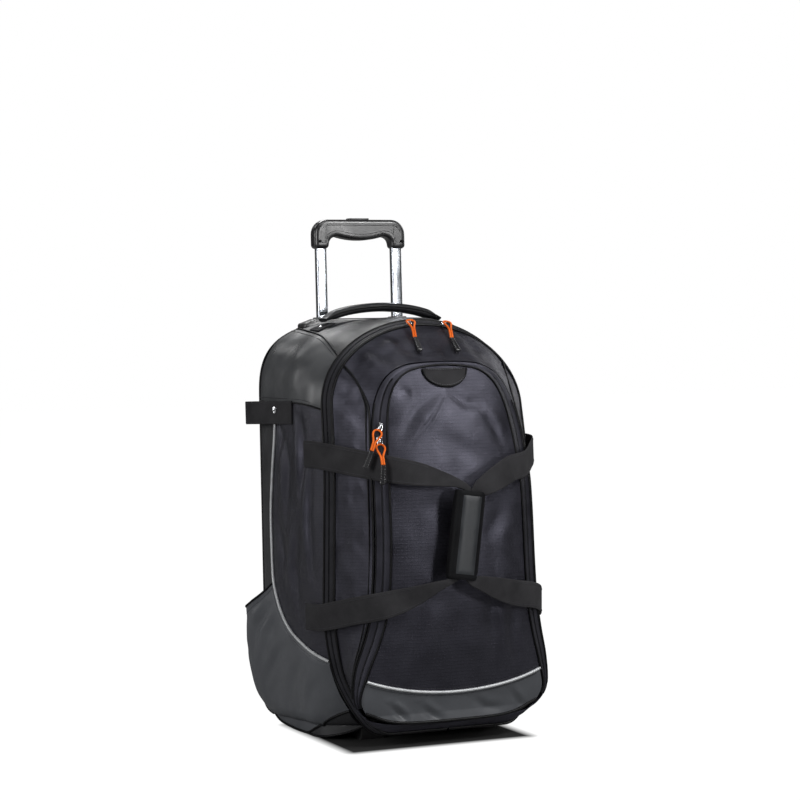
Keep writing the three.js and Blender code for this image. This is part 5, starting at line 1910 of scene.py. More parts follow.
@dataclass
class CarryGear:
    """Carrying straps with their padded wrap, and the padded handle on top."""

    thick: float = 2.6
    in_wrap: float = 21.0
    wrap_top: Point = (0.0, -254.0, 379.0)
    wrap_foot: Point = (-20.0, -254.0, 242.0)
    wrap_wide: float = 52.0
    wrap_deep: float = 25.0
    wrap_square: Pair = (0.62, 0.72)
    slot_wide: float = 47.0
    slot_deep: float = 8.0
    slot_square: Pair = (0.5, 0.6)
    face_wide: float = 32.0
    face_from: float = 0.06
    face_to: float = 0.945
    upper_z: float = 440.0
    lower_z: float = 181.0
    # Rows of an arm: x, more of it on the lower one, y, drop, facing x and y, width
    arm: tuple[tuple[float, ...], ...] = (
        (192, 4, -52, 0, 1.0, -0.05, 43),
        (192, 3, -84, 0, 1.0, -0.14, 43),
        (187, 5, -118, 3, 0.86, -0.5, 43),
        (156, 13, -167, 13, 0.8, -0.6, 43),
        (119, 11, -215, 24, 0.76, -0.65, 42),
    )
    # Where each arm gathers into the wrap: place, width and thickness of the folded webbing
    mouths: dict[tuple[str, str], tuple[tuple[float, ...], ...]] = field(default_factory=lambda: {
        ("left", "upper"): ((-78, -243, 407, 35, 3.0), (-46, -254, 399, 23, 4.0), (-20, -257, 391, 13, 5.5),
                            (-4, -255, 381, 10, 6.0), (-1, -254, 370, 9, 5.0)),
        ("right", "upper"): ((80, -243, 411, 41, 2.6), (50, -255, 399, 39, 3.0), (28, -261, 389, 34, 3.5),
                             (12, -259, 379, 25, 4.0), (8, -255, 368, 18, 4.0)),
        ("left", "lower"): ((-88, -240, 221, 30, 3.0), (-60, -252, 233, 17, 4.5), (-40, -256, 240, 10, 6.0),
                            (-27, -255, 247, 9, 6.0), (-23, -254, 256, 8, 5.0)),
        ("right", "lower"): ((84, -242, 214, 41, 2.6), (46, -254, 224, 35, 3.0), (18, -259, 233, 25, 4.0),
                             (-2, -258, 240, 16, 5.0), (-12, -255, 252, 12, 5.0)),
    })
    handle_y: float = 56.0
    handle_wide: float = 30.0
    handle_thick: float = 15.0
    handle_square: Pair = (0.7, 0.8)
    handle_channel: float = 1.6
    handle_line: tuple[Pair, ...] = (
        (-105, 656.2), (-92, 662.5), (-60, 671.5), (0, 677), (60, 671.5), (92, 662.5), (105, 656.0),
    )
    tab_from: float = 90.0
    tab_to: float = 121.0
    tab_wide: float = 36.0
    tab_lift: float = 3.0
    tab_pitch: float = 3.0
    stitch_pitch: float = 3.2
    rivet_rows: tuple[Pair, ...] = ((1.2, 1.7), (3.0, 1.5), (4.2, 0.6), (4.4, 0.0), (4.4, -1.6))
    stitches: Grains = field(default_factory=lambda: bar_grain(2.5, 0.8, 0.45))

    def build(self) -> None:
        """Builds the straps, the wrap and the top handle."""
        for name, sign in SIDES:
            self.strap(name, sign)
        self.wrap()
        self.handle()
        for name, sign in SIDES:
            self.tab(name, sign)
        settle(self.stitches.build("strap_stitches"), THREAD)

    def wrap_x(self, z: float) -> float:
        """Middle of the wrap at a height."""
        share = (z - self.wrap_foot[2]) / (self.wrap_top[2] - self.wrap_foot[2])
        return self.wrap_foot[0] + (self.wrap_top[0] - self.wrap_foot[0]) * share

    def strap(self, name: str, sign: float) -> None:
        """One strap: an upper and a lower arm that gather into the wrap, and the run inside it.

        Args:
            name: Name of the side.
            sign: -1 for the left side, 1 for the right one.
        """
        ends = {"upper": (0.0, self.upper_z, -1.0), "lower": (1.0, self.lower_z, 1.05)}
        parts = []
        for end, (more, level, slope) in ends.items():
            rows = [(sign * (x + more * extra), y, level + slope * drop, sign * nx, ny, 0.0, wide,
                     self.thick) for x, extra, y, drop, nx, ny, wide in self.arm]
            rows += [(x, y, z, *FORWARD, wide, thick) for x, y, z, wide, thick in self.mouths[name, end]]
            parts.append(ribbon("arm", rows, 150))
            line = through(rows, 150)[5:112]
            path, face = line[:, :3], line[:, 3:6]
            across = unit(np.cross(unit(np.gradient(path, axis=0)), face))
            for reach in (-0.4, 0.4):
                spots = path + across * (line[:, 6:7] * reach) + unit(face) * (self.thick / 2)
                self.stitches.line(spots, face, self.stitch_pitch)
        lane = sign * (self.in_wrap / 2 + 1.6)
        heights = np.linspace(self.wrap_top[2] - 2.0, self.wrap_foot[2] + 2.0, 5)
        inside = [(self.wrap_x(z) + lane, self.wrap_top[1], z, *FORWARD, self.in_wrap, self.thick)
                  for z in heights]
        band = join([*parts, ribbon("run", inside, 12)], f"carry_strap_{name}_web")
        settle(band, WEBBING, replaces=(f"carry_strap_{name}",))

    def wrap_depth(self, x: Array) -> Array:
        """Half depth of the wrap at a distance from its middle."""
        c = np.clip(np.abs(x) / (self.wrap_wide / 2), 0.0, 1.0) ** (1 / self.wrap_square[0])
        return np.sqrt(1.0 - c * c) ** self.wrap_square[1] * self.wrap_deep / 2

    def wrap(self) -> None:
        """The padded wrap round both straps: a soft dark sleeve with bound ends and a grey face."""
        foot, top = np.array(self.wrap_foot), np.array(self.wrap_top)
        axis = unit(top - foot)
        across = unit(np.cross((0.0, 1.0, 0.0), axis))
        turn = np.linspace(0.0, 2 * np.pi, 73)
        outer = oval(turn, self.wrap_wide, self.wrap_deep, self.wrap_square)
        inner = oval(turn, self.slot_wide, self.slot_deep, self.slot_square)
        rows = []
        length = np.linalg.norm(top - foot)
        for t in np.linspace(0.0, 1.0, 49):
            end = min(t, 1.0 - t) * length
            size = 1.0 - 0.16 * math.exp(-end / 3.0) - 0.05 * math.exp(-((end - 9.0) / 2.2) ** 2)
            rows.append((t, outer * (0.5 + 0.5 * size, size)))
        rows = [(0.0, inner * 0.5 + outer * 0.42), *rows, (1.0, inner * 0.5 + outer * 0.42)]
        rows += [(t, inner) for t in (0.99, 0.75, 0.5, 0.25, 0.01)]
        rows.append(rows[0])
        spread = np.stack([across, (0.0, 1.0, 0.0)])
        grid = np.array([foot + axis * (length * t) + flat @ spread for t, flat in rows])
        obj = face_out(lay("grip_wrap_pad", grid, merge=True), fill=False)
        settle(smooth_shade(obj, 60.0), SLEEVE, replaces=("grip_wrap",))

        along = np.linspace(self.face_from, self.face_to, 41)[:, None]
        share = np.linspace(-1.0, 1.0, 33)[None]
        x = share * self.face_wide / 2
        ends = smoothstep(np.minimum(along - self.face_from, self.face_to - along), 0.0, 0.03)
        proud = 1.3 * np.minimum(ends, 1.0 - share ** 6)
        front = foot + axis * (length * along)[..., None] + across * x[..., None]
        front = front + np.array(FORWARD) * (self.wrap_depth(x) + proud)[..., None]
        settle(thicken(lay("grip_wrap_face", front), 1.2), PADDED)

    def handle(self) -> None:
        """The padded top handle with piped edges and a stitched channel along it."""
        path = through([(x, self.handle_y, z) for x, z in self.handle_line], 90)
        flow = unit(np.gradient(path, axis=0))
        across = np.array([0.0, 1.0, 0.0])
        up = np.cross(flow, across)
        up = up * np.sign(up[:, 2:3])
        turn = np.linspace(0.0, 2 * np.pi, 41)
        wide, deep = oval(turn, self.handle_wide, self.handle_thick, self.handle_square).T
        body = 1.0 - 0.55 * smoothstep(np.abs(np.linspace(-1.0, 1.0, 90)), 0.78, 0.97)
        channel = self.handle_channel * np.exp(-(wide / 3.0) ** 2) * (np.sin(turn) > 0)
        lift = deep[None] * body[:, None] - channel[None] * body[:, None]
        grid = path[:, None] + across * wide[None, :, None] + up[:, None] * lift[..., None]
        obj = face_out(lay("top_handle_pad", grid, merge=True))
        settle(smooth_shade(obj, 60.0), PADDED_BLACK, replaces=("top_handle",))
        for number, side in enumerate((-1.0, 1.0)):
            line = path + across * (side * (self.handle_wide / 2 - 0.6)) + up * 1.0
            bind(f"top_handle_piping_{number}", line, 1.9, 8)
        for side in (-4.5, 4.5):
            top = path + across * side + up * (self.handle_thick / 2 * body - 0.5)[:, None]
            self.stitches.line(top[14:-14], up[14:-14], self.stitch_pitch)

    def tab(self, name: str, sign: float) -> None:
        """The tab that holds one end of the top handle, with a box of stitches and a rivet.

        Args:
            name: Name of the side.
            sign: -1 for the left side, 1 for the right one.
        """
        reach = np.linspace(self.tab_from, self.tab_to, 21)[:, None]
        share = np.linspace(-0.5, 0.5, 25)[None]
        y = self.handle_y + self.tab_wide * share
        place = (BACK.top_y - y) / (BACK.top_y - MIDDLE.top_y)
        section = outline_between(place)
        rise = (1.0 - (reach / section.waist) ** section.bow) ** (1.0 / section.bow)
        z = section.arch_z + (section.top_z - section.arch_z) * rise
        grid = np.stack(np.broadcast_arrays(sign * reach, y, z), axis=-1)
        normals = grid_normals(grid)
        obj = lay(f"handle_tab_{name}_web", grid + normals * 2.9, flat_uv(grid, 0, 1))
        settle(thicken(obj, 2.0), WEBBING, replaces=(f"handle_tab_{name}",))
        face = grid + normals * self.tab_lift
        inside = slice(2, -2)
        for line in ((3, inside), (17, inside), (inside, 3), (inside, 21)):
            self.stitches.line(face[line], normals[line], self.tab_pitch)
        rivet = turned(f"tab_rivet_{name}", self.rivet_rows, 24, closed=False)
        seat(rivet, face[12, 12], normals[12, 12])
        settle(smooth_shade(rivet), BRIGHT)


def seat(obj: Object, at: Array, facing: Array, along: Array | None = None) -> Object:
    """Stands a piece that was modelled about +Z on a point of the bag.

    Args:
        obj: Piece modelled in metres about the origin.
        at: Point in the bag's frame, in millimetres.
        facing: Direction of the piece's +Z.
        along: Direction nearest to its +Y, or None for any.

    Returns:
        The same piece, with its place in its mesh.
    """
    z = unit(np.asarray(facing, float))
    guide = np.array([0.0, 0.0, 1.0]) if along is None else np.asarray(along, float)
    if abs(np.dot(guide, z)) > 0.95:
        guide = np.array([0.0, 1.0, 0.0])
    y = unit(guide - z * np.dot(guide, z))
    x = np.cross(y, z)
    basis = Matrix([[*row] for row in np.stack([x, y, z], axis=1)]).to_4x4()
    obj.data.transform(STANCE.matrix() @ Matrix.Translation(Vector(np.asarray(at, float) * MM)) @ basis)
    return obj


def place_upright(obj: Object) -> Object:
    """Moves a piece modelled in metres in the bag's upright frame to its place."""
    obj.data.transform(STANCE.matrix())
    return obj


def hoop(name: str, wide: float, deep: float, at: Sequence[float], power: float = 4.0,
         sides: int = 40) -> Object:
    """A loop of edges shaped as a rounded rectangle.

    Args:
        name: Name of the piece.
        wide: Width along X in millimetres.
        deep: Depth along Y in millimetres.
        at: Middle of the loop in the bag's frame.
        power: Squareness, 2 being an ellipse.
        sides: Number of edges.

    Returns:
        The loop, in metres, ready to be extruded.
    """
    deselect()
    bpy.ops.mesh.primitive_circle_add(vertices=sides)
    x, y = oval(np.arange(sides) * 2 * np.pi / sides, wide, deep, (2 / power, 2 / power)).T
    return reshaped(named(name), np.stack([at[0] + x, at[1] + y, np.full(sides, at[2])], axis=1) * MM)


def dish(rim: float, depth: float = 0.8) -> None:
    """Sinks the selected faces of the open piece inside a flat rim, in millimetres."""
    bpy.ops.mesh.inset(thickness=rim * MM, depth=0.0)
    bpy.ops.mesh.inset(thickness=depth * MM, depth=-depth * MM)


def raised_from(obj: Object, heights: Sequence[Pair], at: Sequence[float], closed: bool = True) -> Object:
    """Draws a loop of edges up through heights.

    Args:
        obj: Loop to draw up.
        heights: Height of each step in millimetres and the scale of the loop there.
        at: Middle of the loop.
        closed: True to close both ends with faces.

    Returns:
        The same piece.
    """
    last_z, last_scale = at[2], 1.0
    with editing(obj):
        for z, scale in heights:
            bpy.ops.mesh.extrude_edges_move(TRANSFORM_OT_translate={"value": (0, 0, (z - last_z) * MM)})
            ratio = scale / last_scale
            middle = (at[0] * MM, at[1] * MM, z * MM)
            bpy.ops.transform.resize(value=(ratio, ratio, 1.0), center_override=middle)
            last_z, last_scale = z, scale
    return face_out(obj, closed)


@dataclass
class Trolley:
    """The telescopic handle: two tubes, a moulded grip with a push button, and the plate under them."""

    x: float = 70.0
    y: float = 137.0
    leg_z: float = 779.0
    top_z: float = 828.0
    tube_wide: float = 18.0
    tube_deep: float = 13.0
    tube_wall: float = 1.3
    tube_below: float = 560.0
    tube_square: float = 6.0
    socket: float = 22.0
    clearance: float = 0.4
    grip_half: float = 84.0
    grip_leg: float = 26.0
    grip_deep: float = 26.0
    grip_round: float = 25.0
    grip_edge: float = 6.5
    grip_bar: float = 29.0
    grip_sag: float = 6.0
    plate_half: float = 111.0
    plate_bend: float = 88.0
    plate_drop: float = 8.0
    plate_front: float = 116.6
    plate_back: float = 149.6
    plate_low: float = 643.6
    plate_top: float = 661.0
    button_wide: float = 38.0
    button_deep: float = 15.0
    button_top: float = 830.4
    button_corner: float = 3.6
    recess_z: float = 816.0
    rib_pitch: float = 3.4
    rib_half: Pair = (0.6, 4.6)
    screw_rows: tuple[Pair, ...] = ((0.8, 1.5), (1.8, 1.45), (2.5, 1.0), (2.6, -1.2))

    def build(self) -> None:
        """Builds and dresses the trolley handle."""
        self.plate()
        self.grip()
        self.button()
        for name, sign in SIDES:
            self.tube(name, sign)
            self.screw(name, sign)

    def tube_hole(self, sign: float, low: float, top: float) -> Object:
        """A cutter for the hole that a tube passes through.

        Args:
            sign: -1 for the left tube, 1 for the right one.
            low: Height of its lower end.
            top: Height of its upper end.

        Returns:
            The cutter.
        """
        at = (sign * self.x, self.y, low)
        wide, deep = self.tube_wide + 2 * self.clearance, self.tube_deep + 2 * self.clearance
        return raised_from(hoop("hole", wide, deep, at, self.tube_square, 48), [(top, 1.0)], at)

    def plate(self) -> None:
        """The moulded plate on top of the bag, bent down at its ends, with a collar round each tube."""
        plate = block("top_plate_body", (-self.plate_half, self.plate_front, self.plate_low),
                      (self.plate_half, self.plate_back, self.plate_top))
        with editing(plate):
            for bend in (self.plate_bend, -self.plate_bend):
                bpy.ops.mesh.select_all(action="SELECT")
                bpy.ops.mesh.bisect(plane_co=(bend * MM, 0, 0), plane_no=(1, 0, 0))
        for vertex in plate.data.vertices:
            if abs(vertex.co.x) > (self.plate_bend + 1.0) * MM and vertex.co.z > (self.plate_top - 1.0) * MM:
                vertex.co.z -= self.plate_drop * MM
        soften(plate, 3.0, 4, 20.0)
        for _, sign in SIDES:
            at = (sign * self.x, self.y - 0.4, self.plate_top - 4.0)
            collar = hoop("collar", self.tube_wide + 11, self.tube_deep + 9, at, 5.0)
            raised_from(collar, [(self.plate_top + 1.4, 1.0), (self.plate_top + 2.4, 0.94)], at)
            cut(plate, collar, "UNION")
        for _, sign in SIDES:
            cut(plate, self.tube_hole(sign, self.plate_low - 9, self.plate_top + 9))
        settle(smooth_shade(place_upright(plate), 35.0), MOULDED, replaces=("top_plate",))

    def grip_outline(self) -> Array:
        """Outline of the grip seen from the front, going round from the middle of its bar.

        Returns:
            Points with their width and height in millimetres.
        """
        corner = np.radians(np.linspace(0.0, 90.0, 13))
        inner = self.grip_half - self.grip_leg
        arc = self.grip_round * np.stack([np.cos(corner), np.sin(corner)], axis=1)
        arc = arc + (self.grip_half - self.grip_round, self.top_z - self.grip_round)
        t = np.linspace(0.0, 1.0, 9)[:, None]
        under = self.top_z - self.grip_bar
        sag = under - self.grip_sag

        def bow(a: Pair, b: Pair, c: Pair) -> Array:
            """A soft curve from a to c pulled towards b."""
            return (1 - t) ** 2 * np.array(a) + 2 * t * (1 - t) * np.array(b) + t * t * np.array(c)

        half_bar = bow((0, sag), (inner - 36, sag), (inner - 16, under))
        fillet = bow((inner - 16, under), (inner - 1, under), (inner, self.leg_z + 6))
        leg = [(inner, self.leg_z), (self.grip_half, self.leg_z)]
        right = np.concatenate([half_bar, fillet[1:], leg, arc])
        left = right[::-1] * (-1.0, 1.0)
        return np.concatenate([right, left[:-1]])

    def grip(self) -> None:
        """The moulded grip: an outline drawn back to its depth and rounded, with sockets and a recess."""
        outline = self.grip_outline()
        front = self.y - self.grip_deep / 2
        deselect()
        bpy.ops.mesh.primitive_circle_add(vertices=len(outline))
        grip = reshaped(named("trolley_grip_body"), np.insert(outline, 1, front, axis=1) * MM)
        with editing(grip):
            bpy.ops.mesh.edge_face_add()
            bpy.ops.mesh.extrude_region_move(TRANSFORM_OT_translate={"value": (0, self.grip_deep * MM, 0)})
        soften(face_out(grip, fill=False), self.grip_edge, 5, 60.0, clamp=False)
        for face_y in (front, front + self.grip_deep):
            with picking(grip, "FACE", lambda spot: abs(spot.y - face_y * MM) < 1e-5):
                dish(3.0)
        for _, sign in SIDES:
            cut(grip, self.tube_hole(sign, self.leg_z - 9, self.leg_z + self.socket))
        wide, deep = self.button_wide / 2 + 0.5, self.button_deep / 2 + 0.5
        recess = block("recess", (-wide, self.y - deep, self.recess_z - 4.5),
                       (wide, self.y + deep, self.top_z + 9))
        cut(grip, soften(recess, 4.0, 4, 30.0))
        settle(smooth_shade(place_upright(grip), 38.0), MOULDED, body="handle", replaces=("trolley_grip",))

    def button(self) -> None:
        """The push button: a rounded block with a dished top and grip ribs."""
        wide, deep, top = self.button_wide / 2, self.button_deep / 2, self.button_top
        button = block("release_button_body", (-wide, self.y - deep, self.recess_z + 4.0),
                       (wide, self.y + deep, top))

        def at_corner(spot: Vector) -> bool:
            """If an edge stands at a corner of the button."""
            return abs(abs(spot.x) - wide * MM) + abs(abs(spot.y - self.y * MM) - deep * MM) < 1e-5

        with picking(button, "EDGE", at_corner):
            bpy.ops.mesh.bevel(offset=self.button_corner * MM, segments=5, affect="EDGES")
        with picking(button, "FACE", lambda spot: spot.z > (top - 0.2) * MM):
            dish(1.2)
        parts = [soften(button, 0.5, 2, 40.0)]
        half, reach = self.rib_half
        for step in range(-4, 5):
            x = step * self.rib_pitch
            rib = block("rib", (x - half, self.y - reach, top - 1.4), (x + half, self.y + reach, top - 0.1))
            parts.append(soften(rib, 0.35, 2))
        button = join(parts, "release_button_body")
        settle(smooth_shade(place_upright(button)), RUBBER, body="button", replaces=("release_button",))

    def tube(self, name: str, sign: float) -> None:
        """One oval tube, hollow, from inside the sleeve up into the grip.

        Args:
            name: Name of the side.
            sign: -1 for the left side, 1 for the right one.
        """
        at = (sign * self.x, self.y, self.leg_z - self.tube_below)
        tube = hoop(f"trolley_tube_{name}_body", self.tube_wide, self.tube_deep, at, self.tube_square, 48)
        raised_from(tube, [(self.leg_z + self.socket - 0.4, 1.0)], at, closed=False)
        place_upright(thicken(tube, self.tube_wall))
        settle(smooth_shade(tube, 35.0), ALUMINIUM, body="handle", replaces=(f"trolley_tube_{name}",))

    def screw(self, name: str, sign: float) -> None:
        """A countersunk screw with a cross slot that holds the grip on its tube.

        Args:
            name: Name of the side.
            sign: -1 for the left side, 1 for the right one.
        """
        screw = turned(f"grip_screw_{name}_body", self.screw_rows, 24, closed=False)
        for turn in (45.0, 135.0):
            slot = block("slot", (-1.7, -0.3, 0.9), (1.7, 0.3, 3.0))
            slot.data.transform(Matrix.Rotation(math.radians(turn), 4, "Z"))
            cut(screw, slot)
        seat(screw, (sign * (self.x + 6), self.y - self.grip_deep / 2 - 0.1, self.leg_z + 12), FORWARD)
        settle(smooth_shade(screw, 30.0), SCREW, body="handle", replaces=(f"grip_screw_{name}",))


@dataclass
class RunningGear:
    """Wheels in their housings under the back edge, and the feet under the front."""

    x: float = 156.0
    y: float = WHEEL_Y
    radius: float = WHEEL_RADIUS
    rim: float = 26.0
    width: float = 24.0
    axle: float = 4.0
    running_gap: float = 0.4
    # Sink below the tread and place across it, for one groove
    groove: tuple[Pair, ...] = ((0.0, -2.4), (0.0, -1.0), (1.4, -0.7), (1.4, 0.7), (0.0, 1.0), (0.0, 2.4))
    # Radius and sink below the wheel's side, from the boss out to the rim
    hub_rows: tuple[Pair, ...] = ((8.0, 0.0), (9.5, 0.8), (9.5, 3.0), (21.0, 5.0), (23.0, 3.2))
    holes: int = 6
    hole: float = 3.9
    hole_ring: float = 15.2
    well: float = 41.0
    house_low: Point = (138.0, 91.0, 4.0)
    house_high: Point = (174.0, 149.0, 77.0)
    cap_rows: tuple[Pair, ...] = ((5.5, -0.5), (6.5, 0.9), (5.2, 1.7), (1.5, 1.9))
    cheek: float = 4.6
    foot_x: float = 100.0
    foot_wide: float = 44.0
    foot_front: float = -94.0
    foot_back: float = -48.0
    foot_top: float = 6.1
    foot_taper: float = 5.0

    def build(self) -> None:
        """Builds and dresses the wheels, their housings and the feet."""
        self.wheels()
        for name, sign in SIDES:
            self.housing(name, sign)
            self.foot(name, sign)

    def wheels(self) -> None:
        """Both wheels, each turned once and copied: a grooved tyre on a spoked hub."""
        half, out = self.width / 2, self.radius
        side = [(self.rim, half - 2), (self.rim + 4, half - 0.5), (out - 4, half), (out - 1, half - 2)]
        grooves = [(out - sink, middle + along) for middle in (-4.0, 4.0) for sink, along in self.groove]
        tread = [*((radius, -along) for radius, along in side), *grooves, *side[::-1]]
        tyre = smooth_shade(turned("tyre", [*tread, tread[0]], 64), 40.0)
        profile = ((self.axle + self.running_gap, 0.0), *self.hub_rows, (self.rim - self.running_gap, 3.2))
        side = [(radius, half - sink) for radius, sink in profile]
        rows = [*((radius, -along) for radius, along in side), *side[::-1]]
        hub = turned("hub", [*rows, rows[0]], 64)
        for step in range(self.holes):
            hole = turned("hole", [(self.hole, -20.0), (self.hole, 20.0)], 20, closed=False)
            spin = Matrix.Rotation(step * 2 * math.pi / self.holes, 4, "Z")
            hole.data.transform(spin @ Matrix.Translation((self.hole_ring * MM, 0, 0)))
            cut(hub, hole)
        smooth_shade(hub, 30.0)
        for name, sign in SIDES:
            move = Matrix.Translation((sign * self.x * MM, self.y * MM, STANCE.wheel_z * MM))
            move = STANCE.matrix() @ move @ Matrix.Rotation(math.pi / 2, 4, "Y")
            body = f"wheel_{name}"
            settle(copy_of(tyre, f"wheel_tyre_{name}_body", move), TYRE, body, (f"wheel_tyre_{name}",))
            settle(copy_of(hub, f"wheel_hub_{name}_body", move), MOULDED, body, (f"wheel_hub_{name}",))
        for model in (tyre, hub):
            bpy.data.objects.remove(model)

    def housing(self, name: str, sign: float) -> None:
        """One housing: a moulded block with a round well and the axle across it.

        Args:
            name: Name of the side.
            sign: -1 for the left side, 1 for the right one.
        """
        low, high = list(self.house_low), list(self.house_high)
        if sign < 0:
            low[0], high[0] = -high[0], -low[0]
        house = soften(block(f"wheel_housing_{name}_body", low, high), 5.0, 4)
        middle = (low[0] + high[0]) / 2
        wide = (high[0] - low[0]) / 2 - self.cheek
        left, right, z = middle - wide, middle + wide, STANCE.wheel_z
        hub = Matrix.Translation((middle * MM, self.y * MM, z * MM))
        across = hub @ Matrix.Rotation(math.pi / 2, 4, "Y")
        well = turned("well", [(self.well, -wide), (self.well, wide)], 64, closed=False)
        well.data.transform(across)
        mouth = block("mouth", (left, self.y - self.well + 3, -20), (right, high[1] + 30, z))
        gate = block("gate", (left, self.y, z - 10), (right, high[1] + 30, z + 34))
        for hollow in (well, mouth, gate):
            cut(house, hollow)
        pin = turned("pin", [(self.axle, -wide - 2), (self.axle, wide + 2)], 32, closed=False)
        pin.data.transform(across)
        cut(house, pin, "UNION")
        cap = turned("cap", self.cap_rows, 32, closed=False)
        outer = Matrix.Translation(((high[0] if sign > 0 else low[0]) * MM, self.y * MM, z * MM))
        cap.data.transform(outer @ Matrix.Rotation(sign * math.pi / 2, 4, "Y"))
        house = join([house, cap], f"wheel_housing_{name}_body")
        settle(smooth_shade(place_upright(house), 35.0), MOULDED, replaces=(f"wheel_housing_{name}",))

    def foot(self, name: str, sign: float) -> None:
        """One moulded foot, tapered to the floor, with three grooves across its tread.

        Args:
            name: Name of the side.
            sign: -1 for the left side, 1 for the right one.
        """
        ends = (self.foot_front + self.foot_taper, self.foot_back - self.foot_taper)
        floor = [(y * math.sin(LEAN) - FLOOR_LIFT) / math.cos(LEAN) for y in ends]
        left, right = sign * self.foot_x - self.foot_wide / 2, sign * self.foot_x + self.foot_wide / 2
        foot = block(f"front_foot_{name}_body", (left, self.foot_front, min(floor)),
                     (right, self.foot_back, self.foot_top))
        middle = (self.foot_front + self.foot_back) / 2
        for vertex in foot.data.vertices:
            if vertex.co.z < 0:
                front = vertex.co.y < middle * MM
                vertex.co.y += (self.foot_taper if front else -self.foot_taper) * MM
                vertex.co.z = (floor[0] if front else floor[1]) * MM
        soften(foot, 2.2, 3)
        for y in (middle - 9.0, middle, middle + 9.0):
            cut(foot, block("groove", (left - 5, y - 1.0, -30.0), (right + 5, y + 1.0, floor[0] + 1.8)))
        settle(smooth_shade(place_upright(foot), 35.0), RUBBER, replaces=(f"front_foot_{name}",))


@dataclass(frozen=True)
class Pull:
    """Where one zip pull hangs: its slider's seat and facing, and both ends of its tip."""

    name: str
    at: Point
    facing: Point
    knot: Point
    end: Point

    @property
    def face(self) -> Array:
        """Direction out of the cloth at the slider."""
        return unit(np.array(self.facing, float))

    @property
    def hang(self) -> Array:
        """Direction along the cloth from the slider towards the tip."""
        way = np.subtract(self.knot, self.at)
        return unit(way - self.face * np.dot(way, self.face))

    @property
    def down(self) -> Array:
        """Direction along the tip."""
        return unit(np.subtract(self.end, self.knot).astype(float))


